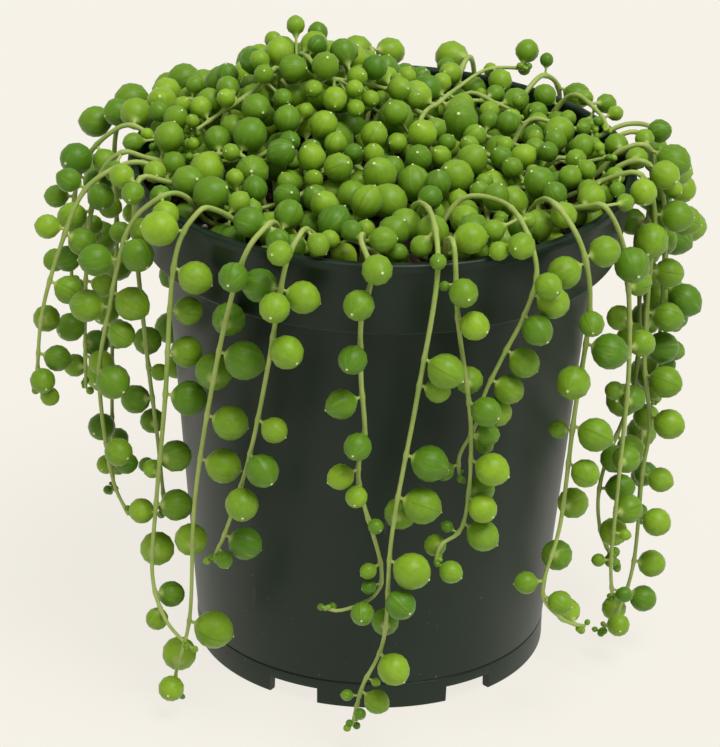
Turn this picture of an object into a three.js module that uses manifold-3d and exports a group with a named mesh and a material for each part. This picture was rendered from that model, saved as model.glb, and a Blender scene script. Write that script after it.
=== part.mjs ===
// A string-of-pearls plant in a dark green plastic nursery pot.
// Millimetres, +Z up. The origin is on the ground, on the pot's axis. The front of the plant faces -Y.
// An angle round the pot is in degrees: 0 is the front, 90 the right (+X), 180 the back.

import * as THREE from "three";
import { mergeVertices } from "three/addons/utils/BufferGeometryUtils.js";
import Module from "manifold-3d";

const wasm = await Module();
wasm.setup();

// ---------- the pot ----------

const potHeight = 114;
const rimRadius = 55; // outside of the lip
const lipWidth = 2.2;
const lipHeight = 2;
const lipProud = 0.5; // how far the lip stands out from the collar below it
const collarHeight = 17.5; // from the rim down to the collar's lower edge
const collarFoot = 52; // outer radius at the collar's lower edge
const bodyTop = 47; // outer radius just below the collar
const bodyFoot = 38.8; // outer radius at the foot
const wall = 1.4;
const footBand = 6.2; // height of the foot band, up to the seam
const footRing = 2; // thickness of the foot's wall
const floorUnder = 4; // height of the floor's underside
const floorThick = 1.5;
const notchAngles = [-25, 35, 95, 155, 215, 275];
const notchWidth = 11.5;
const notchHeight = 3.6;
const drainRadius = 4;
const drainDistance = 29;
const potSides = 36;

const ledge = potHeight - collarHeight; // height of the step under the collar
const lipFoot = potHeight - lipHeight;
const lipInside = rimRadius - lipWidth;
const gap = 0.3; // between pieces that touch

// ---------- the soil ----------

const soilAtWall = 103; // height of the soil at the wall
const soilDome = 4; // how much higher it is in the middle
const soilRough = 0.7;
const soilRings = 4;
const soilSides = 24;
const rootDepth = 3; // how deep a stem stands in the soil
const rootHole = 2.4; // to the corners of a hole of three sides

// ---------- the stems and leaves ----------

const stemRadius = 0.9; // to the corners of its section of three sides
const leafStalk = 1.3; // from a leaf's skin to the middle of its stem
const stalkSunk = 0.25; // how far the stalk goes past the middle of the stem
const leafTip = 0.12; // the point at a leaf's end, as a share of its radius
const leafBelt = 0.42; // from a leaf's middle to each of its rings of corners, as a share of its radius
const step = 1.25; // between the points of a stem's route
const stemStray = 0.42; // farthest that a stem's straight stretches stray from its route

// The foliage's top surface: a low cushion with a peak left of the middle.
const moundEdge = 116;
const moundRise = 17;
const moundPeak = [-17, 14];
const moundSpread = 24;

// Stems that trail over the rim, chosen by hand. First where each stands in the soil, as
// [angle, distance], then its way over the rim and down to its tip, as [angle, distance, height].
const trailing = {
  front_1: [[-38, 31], [-42, 57, 119], [-45, 60.5, 108], [-47, 61, 75], [-49.5, 61, 50], [-50, 61.5, 32],
    [-44, 63, 24], [-37, 63, 20]],
  front_2: [[-27, 37], [-25, 56.5, 120], [-28, 60.5, 113], [-33, 61, 90], [-39, 60, 55], [-41, 59, 25],
    [-45, 59, 9], [-43, 60, 4]],
  front_3: [[-14, 30], [-17, 57, 120], [-19, 60, 113], [-22, 60.5, 90], [-26, 60, 68], [-32, 59, 48],
    [-35.5, 59, 40]],
  front_4: [[-5, 38], [-4, 56.5, 120], [-1.5, 60, 114], [-3.3, 60, 104], [-3, 60, 90], [-2, 60, 78],
    [-3, 59, 66], [2, 57.5, 46], [1, 57, 38], [-6, 58, 34.5], [-10, 58, 35]],
  front_5: [[9, 27], [13, 33, 118], [13, 48, 121], [11.3, 60.5, 113], [8, 61, 86], [4, 61, 55],
    [3, 61, 30], [-1, 59, 17], [-3, 59, 7]],
  front_6: [[17, 41], [15.5, 57, 118.5], [16, 60, 103], [19.5, 60, 78], [19, 59.5, 56], [14, 60, 51],
    [13, 60.5, 46]],
  front_7: [[17, 34], [29, 34, 118], [36, 42, 120], [33, 54, 120], [32.5, 60.5, 112], [30.5, 60, 102.5],
    [27, 58.5, 93.5], [23.5, 57, 84], [22, 56, 76], [19, 55, 69], [19.5, 55, 63]],
  front_8: [[54, 36], [47, 46, 119.5], [42, 57.5, 120.5], [44, 61.5, 112], [46.5, 61, 98], [44, 60.5, 75],
    [42, 60, 50], [38, 60, 35], [44, 60, 26], [52, 60, 21]],
  right_1: [[61, 23], [56, 57, 118], [59, 60.5, 106], [63, 60.5, 80], [64, 59, 50], [66, 57.5, 30],
    [70, 57, 18]],
  right_2: [[94, 38], [92, 57, 118], [96, 59, 108], [98, 58, 84], [91, 57, 62], [77, 51.5, 45],
    [75, 52, 33], [78, 55.5, 23]],
  right_3: [[75, 28], [75, 57, 118.5], [80, 59.5, 108], [81, 59, 90], [81, 59, 72], [80.5, 61, 57],
    [80, 60, 45], [81, 59, 22], [79, 56, 10], [76, 52, 6]],
  right_4: [[84, 42], [84, 57, 117.5], [88, 61, 107], [90, 62, 85], [88, 61.5, 68], [86, 61, 58]],
  right_5: [[106, 30], [106, 57, 117.5], [111, 64.5, 112.5], [117, 72, 100], [119.5, 74.3, 82],
    [118, 73, 60]],
  left_1: [[-53, 38], [-54, 57, 118.5], [-59, 62, 110], [-61, 65.5, 90], [-62, 67, 74], [-60, 65, 52],
    [-58, 62, 43]],
  left_2: [[-65, 27], [-64, 57, 118.5], [-64, 58, 108], [-62, 56, 80], [-60, 54, 58], [-58, 53, 40]],
  left_3: [[-75, 38], [-73, 57, 118.5], [-74, 65.5, 113], [-74, 70.7, 101], [-74.5, 75, 84],
    [-75, 76, 66]],
  left_4: [[-83, 29], [-81, 57, 117.5], [-84, 62, 108], [-86, 64, 85], [-84, 64, 60]],
  left_5: [[-98, 38], [-96, 57, 117.5], [-96, 65, 109], [-96, 68, 95], [-96, 68, 78]],
};

// Leaves on the trailing stems that are chosen by hand: the height of the leaf's middle, the angle it
// points to (as round the pot, so 0 is to the front) and its radius.
const placed = {
  front_1: [[114.5, -75, 3.9], [106, 90, 3.6], [96, 120, 3.1], [86, 125, 3.4], [76, 115, 3.8],
    [60, 137, 3.5], [56, -170, 2.1], [48, 115, 3.5], [36, 170, 3.8], [28, 138, 2.9], [25, 180, 2.5]],
  front_2: [[111.5, -15, 3.2], [97, 170, 3.6], [91, 90, 4.2], [83, 180, 4.1], [74.5, 90, 3.8],
    [64, 90, 3.8], [41, 156, 3.6], [23, 100, 4.2], [11, 149, 3.8], [7, 20, 3.4]],
  front_3: [[116.5, -50, 3.0], [108, -120, 4.0], [106.5, -25, 3.3], [107.5, 75, 3.8], [97, 40, 3.6],
    [77, 65, 2.8], [68, 38, 3.6], [60, 10, 3.6], [47, 90, 3.6], [44, 33, 1.9]],
  front_4: [[115, 20, 3.3], [109, -20, 3.3], [96.5, -20, 3.1], [85, -75, 3.2], [77, -18, 3.0],
    [68.5, -60, 2.8], [64.5, -10, 2.4], [56, 30, 1.7], [46, -60, 1.8], [41, -60, 1.6], [37, 180, 2.5],
    [35.5, 10, 2.6]],
  front_5: [[116, 0, 1.8], [95, 80, 3.8], [88, 70, 3.6], [72.5, 90, 3.9], [62.5, 90, 4.0], [57, 163, 3.8],
    [47.5, 65, 4.0], [40, 37, 3.3], [31.5, 180, 3.0], [25, 47, 3.5], [18.5, 90, 1.0], [15, 70, 2.7],
    [14.5, -90, 1.3], [11.5, 20, 1.3]],
  front_6: [[111, -90, 1.1], [110, 20, 3.1], [103.5, 50, 3.1], [87.5, 160, 3.0], [83, 50, 3.2],
    [76, 120, 2.4], [70, 65, 3.6], [62.5, 172, 3.0], [61, 60, 3.1], [54.5, 80, 3.4], [53, -90, 1.3],
    [50, 150, 2.4], [46, 60, 2.5]],
  front_7: [[116, 10, 3.2], [110.5, 35, 2.9], [106, 100, 3.5], [101, 60, 3.3], [93, 90, 3.3],
    [86, 100, 3.2], [79, 120, 3.2], [74, 90, 2.1], [66, -60, 2.2]],
  front_8: [[110.5, -80, 3.6], [111, 120, 3.4], [98.5, 5, 2.8], [91, 90, 3.9], [84, -20, 3.7],
    [72, 75, 3.7], [70.5, -125, 2.1], [63, 55, 3.1], [53, 150, 3.4], [42, 158, 3.4], [36.5, -80, 2.5],
    [32.5, 60, 2.7], [22.5, 180, 2.8]],
  right_1: [[107, 15, 3.9], [98, 150, 3.0], [90, -150, 2.8], [83, 140, 3.0], [72, -130, 2.1],
    [70, 160, 3.0], [55, 160, 3.2], [42.5, 140, 3.3], [38, 90, 1.3], [30, -100, 1.5], [22, 60, 1.8]],
  right_3: [[117.8, -45, 3.0], [107, 95, 3.5], [104.5, -10, 3.9], [92.5, 110, 3.2], [82.5, 90, 3.3],
    [74.5, 140, 3.6], [68.5, 60, 3.6], [58.5, 60, 3.4], [44, 80, 2.8], [35, 60, 3.2], [21.5, 110, 3.1],
    [15, 100, 3.0], [10.5, 180, 2.8], [9, 10, 2.6]],
  right_5: [[110, -15, 2.8], [104, -120, 3.0], [97, 30, 3.2], [92, -100, 3.4], [84, 103, 3.7],
    [78, -90, 3.2], [73, 0, 3.0], [68, 150, 2.8], [64, -60, 2.2], [61, 90, 1.6]],
  left_1: [[117.5, 60, 3.0], [106.5, 45, 3.6], [102, -85, 3.5], [95, 65, 3.7], [91, -100, 3.6],
    [87, 55, 3.0], [76.5, 40, 3.7], [59.5, 40, 3.1], [54, 110, 2.4], [44, 60, 2.8], [42, 120, 2.1]],
  left_2: [[117, -90, 3.2], [108, 60, 3.2], [106, -120, 2.4], [80, 150, 3.4], [75, 80, 1.9],
    [67, -120, 3.2], [61, 165, 3.3], [53, -90, 1.7], [46, 60, 1.6]],
  left_3: [[112, -90, 2.7], [103, -90, 2.7], [102, 110, 3.1], [91, 90, 3.1], [82, 165, 3.0],
    [74.5, 90, 2.9], [71, 20, 2.8], [66, 60, 2.1]],
  left_4: [[109.5, 20, 3.0], [104, 90, 2.6], [102, -60, 3.2], [97, 170, 2.3], [91, -80, 2.9],
    [84, 90, 2.6], [82, -100, 2.6], [76, -40, 3.2], [70, 150, 3.0], [67, 60, 2.8], [65, -140, 2.6]],
  left_5: [[112, 60, 2.8], [110, -20, 3.6], [104, 100, 3.2], [100, -95, 2.6], [92, 90, 2.8],
    [86, -60, 2.6], [80, 20, 2.4]],
};
// Leaves chosen by hand in the same way near the crests of other stems. The rule grows their rest.
const atCrest = {
  right_2: [[117, 180, 2.9], [109.5, 30, 3.1]],
  back_1: [[111, 15, 2.9], [103, -90, 3.0]],
};
const placedDroop = 12;
const placedSizes = [1, 0.92, 0.84, 0.76]; // shares of the radius to try, in order of choice
const placedTurns = [0, 15, -15, 30, -30]; // and changes of the angle

// Stems that lie over the foliage, chosen by hand, seen from above as [x, y].
const arches = [
  [[-36, 22], [-42, 15], [-46, 6], [-49, -2]],
  [[-24, -17], [-29, -13], [-35, -10], [-42, -9]],
  [[-25, 22], [-23, 11], [-29, 6], [-36, 3], [-42, -1]],
  [[-25, 30], [-19, 17], [-13, 8], [-5, 11], [3, 16]],
  [[5, 0], [8, 8], [12, 22], [16, 36], [23, 45], [32, 46]],
  [[12, 30], [18, 33], [25, 29], [30, 24]],
  [[27, 18], [32, 21], [40, 18], [47, 10]],
  [[34, 34], [41, 31], [47, 22], [49, 12]],
  [[14, -3], [20, -1], [26, -4], [31, -14]],
  [[31, -2], [37, 0], [43, -1], [49, -2]],
];
const archShare = 0.92; // how high in the foliage they lie

// Stems that trail round the back, drawn by a rule.
const backStems = 11;
const backFrom = 108;
const backTo = 250;

// Stems that creep through the foliage, drawn by a rule, in two layers of it.
const creepers = 14;
const creeperShares = [0.5, 0.76];
const creeperTurns = [60, -65];
const creeperReach = 43;
const creeperHeart = [-9, 7]; // the middle of their roots

const stemClear = 2.3; // least distance between the middles of two stems
const mostTries = 200;

// ---------- small helpers ----------

const radians = (degrees) => (degrees * Math.PI) / 180;
const mix = (a, b, t) => a + (b - a) * t;

function polar(angle, distance, z = 0) {
  const turn = radians(angle);
  return new THREE.Vector3(distance * Math.sin(turn), -distance * Math.cos(turn), z);
}

// A repeatable draw from 0 to 1 for the k-th thing on the i-th stem.
function draw(i, k, what) {
  const s = Math.sin(i * 12.9898 + k * 78.233 + what * 37.719) * 43758.5453;
  return s - Math.floor(s);
}

const spread = (i, k, what) => 2 * draw(i, k, what) - 1;

function soilTop(x, y) {
  const out = Math.min(1, Math.hypot(x, y) / rimRadius);
  return soilAtWall + soilDome * (1 - out * out);
}

function moundTop(x, y) {
  const away = Math.hypot(x - moundPeak[0], y - moundPeak[1]) / moundSpread;
  return moundEdge + moundRise * Math.exp(-away * away);
}

// ---------- the stems' routes ----------

// A point on the smooth curve (Catmull-Rom) from b to c, with their neighbours a and d.
function between(a, b, c, d, t) {
  const p = new THREE.Vector3();
  p.addScaledVector(a, 0.5 * (-t + 2 * t * t - t * t * t));
  p.addScaledVector(b, 0.5 * (2 - 5 * t * t + 3 * t * t * t));
  p.addScaledVector(c, 0.5 * (t + 4 * t * t - 3 * t * t * t));
  return p.addScaledVector(d, 0.5 * (-t * t + t * t * t));
}

// The smooth curve through the points, walked in even steps.
function walk(points) {
  const perSpan = 24;
  const last = points.length - 1;
  const route = [points[0]];
  let from = points[0];
  let owed = step;
  for (let i = 1; i <= last * perSpan; i++) {
    const span = Math.min(last - 1, Math.floor(i / perSpan));
    const ends = [Math.max(0, span - 1), span, span + 1, Math.min(last, span + 2)];
    const to = between(...ends.map((end) => points[end]), i / perSpan - span);
    let left = from.distanceTo(to);
    while (left >= owed) {
      from = from.clone().lerp(to, owed / left);
      route.push(from);
      left -= owed;
      owed = step;
    }
    owed -= left;
    from = to;
  }
  return route;
}

// A stem's first points: straight up out of its hole in the soil.
function fromSoil(x, y) {
  const ground = soilTop(x, y);
  return [-rootDepth, 0, 1.5].map((rise) => new THREE.Vector3(x, y, ground + rise));
}

// A point in the foliage: share 0 is on the soil, 1 at the top surface.
function inFoliage(x, y, share) {
  return new THREE.Vector3(x, y, mix(soilTop(x, y), moundTop(x, y), share));
}

function trailingRoute([root, ...way]) {
  const foot = polar(...root);
  const points = fromSoil(foot.x, foot.y);
  const [angle, distance, height] = way[0];
  if (distance > rimRadius) {
    const middle = polar(mix(root[0], angle, 0.5), mix(root[1], distance, 0.4));
    points.push(inFoliage(middle.x, middle.y, 0.5));
    points.push(polar(angle, rimRadius - 4, height - 1.3));
  }
  return walk([...points, ...way.map((place) => polar(...place))]);
}

// A stem at the back, by turns long with its root near the wall and short with its root further in.
function backRoute(n, go) {
  const short = n % 2 === 1;
  const angle = mix(backFrom, backTo, n / (backStems - 1)) + 5 * spread(n, go, 1);
  const root = (short ? 27 : 38) + 3 * spread(n, go, 2);
  const lean = 6 * spread(n, go, 3);
  const out = 62 + 2 * spread(n, go, 4);
  const tip = short ? mix(60, 85, draw(n, go, 5)) : mix(12, 50, draw(n, go, 5));
  const fall = [0.08, 0.35, 0.65, 1].map((down, i) => {
    const swing = lean * down + spread(n, go, 6 + i);
    return [angle + swing, out, mix(116, tip, down)];
  });
  return trailingRoute([[angle, root], [angle, 57, 116.5], ...fall]);
}

function archRoute([root, ...plan]) {
  const nearRim = 46;
  const overRim = potHeight + 3.3;
  const way = plan.map(([x, y]) => {
    const p = inFoliage(x, y, archShare);
    if (Math.hypot(x, y) > nearRim) p.z = Math.max(p.z, overRim);
    return p;
  });
  return walk([...fromSoil(...root), ...way]);
}

// A stem that creeps outward in a curl. The roots are set round the heart by the golden angle.
function creeperRoute(n, go) {
  const tier = n % creeperShares.length;
  const angle = 137.5 * n + 40 * spread(n, go, 1);
  const foot = 4.5 * Math.sqrt(n + 0.6) + 2 * spread(n, go, 2);
  const share = creeperShares[tier] + 0.06 * spread(n, go, 3);
  const [root, ...plan] = [0, 0.15, 0.45, 0.75, 1].map((out) => {
    const distance = mix(foot, creeperReach, out);
    const turn = (creeperTurns[tier] * (distance - foot)) / creeperReach;
    const { x, y } = polar(angle + turn, distance);
    return [mix(creeperHeart[0], 0, out) + x, mix(creeperHeart[1], 0, out) + y];
  });
  return walk([...fromSoil(...root), ...plan.map(([x, y]) => inFoliage(x, y, share))]);
}

const stems = [];

function addStem(name, route, hangs) {
  stems.push({ name, route, hangs, leaves: [] });
}

function clearOfStems(route) {
  const near = stemClear * stemClear;
  return stems.every((stem) =>
    stem.route.every((q) => route.every((p) => p.distanceToSquared(q) > near)));
}

// Adds the first of the drawn routes that is clear of all stems so far, if there is one.
function addDrawnStem(name, routeOf, hangs) {
  for (let go = 0; go < mostTries; go++) {
    const route = routeOf(go);
    if (clearOfStems(route)) {
      addStem(name, route, hangs);
      return;
    }
  }
}

for (const [name, plan] of Object.entries(trailing)) {
  addStem(`trailing_${name}`, trailingRoute(plan), true);
}
arches.forEach((plan, n) => addStem(`arch_${n + 1}`, archRoute(plan), false));
for (let n = 0; n < backStems; n++) {
  addDrawnStem(`trailing_back_${n + 1}`, (go) => backRoute(n, go), true);
}
for (let n = 0; n < creepers; n++) {
  addDrawnStem(`creeper_${n + 1}`, (go) => creeperRoute(n, go), false);
}

// ---------- room for the leaves ----------

// The pot's wall as [radius, height], from the soil over the lip to the ground.
const potOutline = [
  [collarFoot - wall, ledge],
  [lipInside, lipFoot],
  [lipInside, potHeight],
  [rimRadius, potHeight],
  [rimRadius, lipFoot],
  [collarFoot, ledge],
  [bodyTop, ledge],
  [bodyFoot, 0],
];

function distanceToPot(p) {
  const out = Math.hypot(p.x, p.y);
  let least = Infinity;
  for (let i = 1; i < potOutline.length; i++) {
    const [r0, z0] = potOutline[i - 1];
    const [r, z] = [potOutline[i][0] - r0, potOutline[i][1] - z0];
    const along = ((out - r0) * r + (p.z - z0) * z) / (r * r + z * z);
    const t = Math.min(1, Math.max(0, along));
    least = Math.min(least, Math.hypot(out - r0 - r * t, p.z - z0 - z * t));
  }
  return least;
}

// A leaf's top stands little above the foliage's surface, and less so at the back.
function underCeiling(p, radius) {
  const back = Math.min(1, Math.max(0, p.y / 40));
  return p.z + radius <= moundTop(p.x, p.y) + mix(5, 2.5, back);
}

// Balls that fill what is in place: one at each step of a stem, and three for each leaf.
const stemBall = 1.1;
const balls = [];
stems.forEach(({ route }, s) => {
  for (const p of route) balls.push({ p, r: stemBall, s });
});

// Whether a ball on stem s is clear of the pot, the soil, the ground and all the other balls.
function isFree({ p, r, s, neck }) {
  const inside = Math.hypot(p.x, p.y) < lipInside;
  const above = inside ? p.z - soilTop(p.x, p.y) - soilRough : p.z;
  if (above <= r || distanceToPot(p) <= r + gap) return false;
  return balls.every((ball) => {
    if (neck && ball.s === s && ball.r === stemBall) return true;
    const reach = ball.r + r + (ball.s === s ? 0.1 : 0.2);
    return p.distanceToSquared(ball.p) > reach * reach;
  });
}

// ---------- where the leaves grow ----------

const wideTurns = [35, -35, 75, -75, 5, 110, -110]; // turns round a stem in the foliage, in order of choice
const hangingTurns = [80, 60, 100, 40, 15, -30, 125, -60, -90]; // and round one that hangs
const sizes = [1, 0.85, 0.7, 0.55];
const leastLeaf = 0.8;

function isHanging({ route, hangs }, at) {
  return hangs && Math.hypot(route[at].x, route[at].y) > rimRadius - 2;
}

const toTip = ({ route }, at) => (route.length - 1 - at) * step;

// Directions at a point of a stem: along it, its face (up on the soil, outward on the pot) and its side.
function directions({ route }, at) {
  const next = route[Math.min(at + 2, route.length - 1)];
  const along = next.clone().sub(route[Math.max(at - 2, 0)]).normalize();
  const { x, y } = route[at];
  const face = new THREE.Vector3(x, y, Math.hypot(x, y)).normalize();
  face.addScaledVector(along, -face.dot(along)).normalize();
  return { along, face, side: new THREE.Vector3().crossVectors(along, face) };
}

// The way across the stem at that turn round it. Turn 0 is its face.
function turned(stem, at, turn) {
  const { along, face, side } = directions(stem, at);
  const across = face.multiplyScalar(Math.cos(radians(turn))).addScaledVector(side, Math.sin(radians(turn)));
  return { along, across };
}

// The way across the stem that is nearest to that angle round the pot.
function pointed(stem, at, angle) {
  const { along } = directions(stem, at);
  const way = polar(angle, 1);
  return { along, across: way.addScaledVector(along, -way.dot(along)).normalize() };
}

// The leaf of that size that goes across stem s and droops along it by an angle, with the three balls
// that it fills.
function leafAt(s, at, radius, { along, across }, droop) {
  const out = across.clone().multiplyScalar(Math.cos(radians(droop)));
  out.addScaledVector(along, Math.sin(radians(droop)));
  const reach = (radius + leafStalk) / Math.cos(radians(droop));
  const centre = stems[s].route[at].clone().addScaledVector(out, reach);
  const tip = centre.clone().addScaledVector(out, radius * (leafTip + 0.85));
  const neck = centre.clone().addScaledVector(out, -0.75 * radius);
  const filled = [
    { p: centre, r: radius, s },
    { p: tip, r: 0.15 * radius, s },
    { p: neck, r: 0.5 * radius, s, neck: true },
  ];
  return { centre, out, radius, reach, filled };
}

// Adds the leaf to stem s if it fits, and says whether it did.
function placeLeaf(s, leaf) {
  const fits = leaf.filled.every(isFree) && underCeiling(leaf.centre, leaf.radius);
  if (fits) {
    stems[s].leaves.push(leaf);
    balls.push(...leaf.filled);
  }
  return fits;
}

// A leaf chosen by hand, a little smaller or turned a little where it has no room.
function growPlacedLeaf(s, [height, angle, radius]) {
  const stem = stems[s];
  const root = height + radius / 4;
  const crest = stem.route.reduce((best, p, i) => (p.z > stem.route[best].z ? i : best), 0);
  let at = crest;
  for (let i = crest; i < stem.route.length; i++) {
    if (Math.abs(stem.route[i].z - root) < Math.abs(stem.route[at].z - root)) at = i;
  }
  for (const size of placedSizes) {
    for (const turn of placedTurns) {
      const leaf = leafAt(s, at, radius * size, pointed(stem, at, angle + turn), placedDroop);
      if (placeLeaf(s, leaf)) return;
    }
  }
}

// The first leaf that fits at a node, by size and then by turn round the stem.
function growLeaf(s, k, at) {
  const stem = stems[s];
  const hanging = isHanging(stem, at);
  const full = hanging ? 3.5 + 0.5 * spread(s, k, 1) : 3.55 + 0.55 * spread(s, k, 1);
  const droop = hanging ? 18 + 14 * spread(s, k, 4) : 20 * spread(s, k, 4);
  const young = Math.min(1, 0.3 + toTip(stem, at) / (hanging ? 26 : 14));
  const swap = hanging ? 1 : Math.sign(spread(s, k, 2));
  const hand = k % 2 ? swap : -swap;
  for (const size of sizes) {
    const radius = full * young * size;
    if (radius < leastLeaf) return;
    for (const turn of hanging ? hangingTurns : wideTurns) {
      const ways = turned(stem, at, hand * turn + 12 * spread(s, k, 3));
      if (placeLeaf(s, leafAt(s, at, radius, ways, droop))) return;
    }
  }
}

// A stem's nodes, from its tip back to the soil. They are closer in the foliage and near the tip.
function nodesOf(s) {
  const stem = stems[s];
  const nodes = [];
  let at = stem.route.length - 2;
  for (let k = 0; at > 6; k++) {
    nodes.push([k, at]);
    const hanging = isHanging(stem, at);
    const pitch = hanging ? (toTip(stem, at) < 12 ? 4 : 7.5) : 5.2;
    at -= Math.round((pitch * (1 + 0.25 * spread(s, k, 5))) / step);
  }
  return nodes;
}

// The leaves chosen by hand come first. Of the other nodes two of every five bear a leaf in this model.
// The real plant has one at nearly every node.
const chosenFor = ({ name }, table) => table[name.replace("trailing_", "")] ?? [];
stems.forEach((stem, s) => {
  for (const place of chosenFor(stem, placed)) growPlacedLeaf(s, place);
  for (const place of chosenFor(stem, atCrest)) growPlacedLeaf(s, place);
});
stems.forEach((stem, s) => {
  const byHand = chosenFor(stem, placed).length > 0;
  for (const [k, at] of nodesOf(s)) {
    if (k % 5 < 2 && !(byHand && isHanging(stem, at))) growLeaf(s, k, at);
  }
});

// ---------- solids ----------

function solid(geometry) {
  geometry.deleteAttribute("normal");
  geometry.deleteAttribute("uv");
  const merged = mergeVertices(geometry.index ? geometry.toNonIndexed() : geometry, 1e-4);
  const mesh = new wasm.Mesh({
    numProp: 3,
    vertProperties: Float32Array.from(merged.attributes.position.array),
    triVerts: Uint32Array.from(merged.index.array),
  });
  return new wasm.Manifold(mesh);
}

function surface(manifold) {
  const { vertProperties, triVerts } = manifold.getMesh();
  const geometry = new THREE.BufferGeometry();
  geometry.setAttribute("position", new THREE.BufferAttribute(vertProperties, 3));
  geometry.setIndex(new THREE.BufferAttribute(triVerts, 1));
  geometry.computeVertexNormals();
  return geometry;
}

// A closed surface over rings of corners, with a point at each end. A twist of half a side between
// two rings makes their triangles alike.
function closedBody(start, rings, end) {
  const sides = rings[0].length;
  const positions = [start, ...rings.flat(), end].flatMap((p) => p.toArray());
  const last = sides * rings.length + 1;
  const index = [];
  for (let side = 0; side < sides; side++) {
    const next = (side + 1) % sides;
    index.push(0, 1 + next, 1 + side);
    for (let a = 1; a + sides < last; a += sides) {
      const b = a + sides;
      index.push(a + side, a + next, b + side, a + next, b + next, b + side);
    }
    index.push(last, last - sides + side, last - sides + next);
  }
  const geometry = new THREE.BufferGeometry();
  geometry.setAttribute("position", new THREE.Float32BufferAttribute(positions, 3));
  geometry.setIndex(index);
  return geometry;
}

// Corners of a regular polygon across u and v.
function ringOf(sides, centre, radius, u, v, twist) {
  return Array.from({ length: sides }, (_, side) => {
    const turn = (2 * Math.PI * (side + twist)) / sides;
    const corner = centre.clone().addScaledVector(u, radius * Math.cos(turn));
    return corner.addScaledVector(v, radius * Math.sin(turn));
  });
}

// Farthest that the route strays from the straight line between two of its points.
function strays(route, from, to) {
  const chord = new THREE.Line3(route[from], route[to]);
  const near = new THREE.Vector3();
  return Math.max(0, ...route.slice(from + 1, to).map((p) =>
    p.distanceTo(chord.closestPointToPoint(p, true, near))));
}

// The points of the route that get a ring of the stem's surface: its ends, and more where it bends.
function ringPoints(route) {
  const last = route.length - 1;
  const rings = [route[0]];
  let from = 0;
  for (let to = 1; to <= last; to++) {
    if (to === last || strays(route, from, to + 1) > stemStray) {
      rings.push(route[to]);
      from = to;
    }
  }
  return rings;
}

function stemBody(route) {
  const points = ringPoints(route);
  const last = points.length - 1;
  const u = new THREE.Vector3(1, 0.2, 0);
  const rings = points.map((p, i) => {
    const along = points[Math.min(i + 1, last)].clone().sub(points[Math.max(i - 1, 0)]).normalize();
    u.addScaledVector(along, -u.dot(along)).normalize();
    const v = new THREE.Vector3().crossVectors(along, u);
    return ringOf(3, p, stemRadius, u, v, 0);
  });
  return closedBody(points[0], rings, points[last]);
}

// A leaf: a ball with a stalk into the middle of its stem and a short pointed tip.
function leafBody({ centre, out, radius, reach }) {
  const u = new THREE.Vector3(0.3, 0.5, 0.81).cross(out).normalize();
  const v = new THREE.Vector3().crossVectors(out, u);
  const wide = radius * Math.sqrt(1 - leafBelt * leafBelt);
  const rings = [-leafBelt, leafBelt].map((height, i) => {
    const middle = centre.clone().addScaledVector(out, radius * height);
    return ringOf(4, middle, wide, u, v, i / 2);
  });
  const root = centre.clone().addScaledVector(out, -reach - stalkSunk);
  const tip = centre.clone().addScaledVector(out, radius * (1 + leafTip));
  return closedBody(root, rings, tip);
}

function latheZ(profile, sides) {
  const points = profile.map(([r, z]) => new THREE.Vector2(r, z));
  return new THREE.LatheGeometry(points, sides).rotateX(Math.PI / 2);
}

// Outer radius of the pot's body at a height below the collar.
const bodyAt = (z) => mix(bodyFoot, bodyTop, (z - footBand) / (ledge - footBand));

function potSolid() {
  const floorTop = floorUnder + floorThick;
  const profile = [
    [0, floorUnder],
    [bodyFoot - footRing, floorUnder],
    [bodyFoot - footRing, 0],
    [bodyFoot, 0],
    [bodyFoot, footBand],
    [bodyTop, ledge],
    [collarFoot, ledge],
    [rimRadius - lipProud, lipFoot],
    [rimRadius, lipFoot],
    [rimRadius, potHeight],
    [lipInside, potHeight],
    [lipInside, lipFoot],
    [collarFoot - wall, ledge + wall],
    [bodyTop - wall, ledge + wall],
    [bodyFoot - wall, floorTop],
    [0, floorTop],
  ];
  let pot = solid(latheZ(profile, potSides));
  for (const angle of notchAngles) {
    const notch = new THREE.BoxGeometry(notchWidth, 3 * footRing, 2 * notchHeight);
    notch.translate(0, -(bodyFoot - footRing / 2), 0).rotateZ(radians(angle));
    const drain = new THREE.CylinderGeometry(drainRadius, drainRadius, 3 * floorThick, 10);
    drain.rotateX(Math.PI / 2).translate(0, -drainDistance, floorUnder).rotateZ(radians(angle));
    pot = pot.subtract(solid(notch)).subtract(solid(drain));
  }
  return pot;
}

function soilSolid() {
  const bottom = floorUnder + floorThick + gap;
  const shelf = ledge + wall + gap;
  const slope = (lipInside - collarFoot + wall) / (lipFoot - ledge - wall);
  const edge = collarFoot - wall - gap + slope * (soilAtWall - shelf);
  const profile = [
    [0, bottom],
    [bodyAt(footBand) - wall - gap, bottom],
    [bodyTop - wall - gap, shelf],
    [collarFoot - wall - gap, shelf],
    [edge, soilAtWall],
  ];
  for (let ring = soilRings - 1; ring > 0; ring--) {
    const r = (edge * ring) / soilRings;
    profile.push([r, soilTop(r, 0) + soilRough * spread(ring, 0, 9)]);
  }
  profile.push([0, soilTop(0, 0)]);
  let soil = solid(latheZ(profile, soilSides));
  for (const { route } of stems) {
    const depth = rootDepth + gap;
    const hole = new THREE.CylinderGeometry(rootHole, rootHole, 2 * depth, 3).rotateX(Math.PI / 2);
    hole.translate(route[0].x, route[0].y, soilTop(route[0].x, route[0].y));
    soil = soil.subtract(solid(hole));
  }
  return soil;
}

// ---------- the object ----------

const group = new THREE.Group();

function addPiece(name, manifold, color, roughness) {
  const material = new THREE.MeshStandardMaterial({ color, roughness, metalness: 0 });
  const mesh = new THREE.Mesh(surface(manifold), material);
  mesh.name = name;
  group.add(mesh);
}

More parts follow.
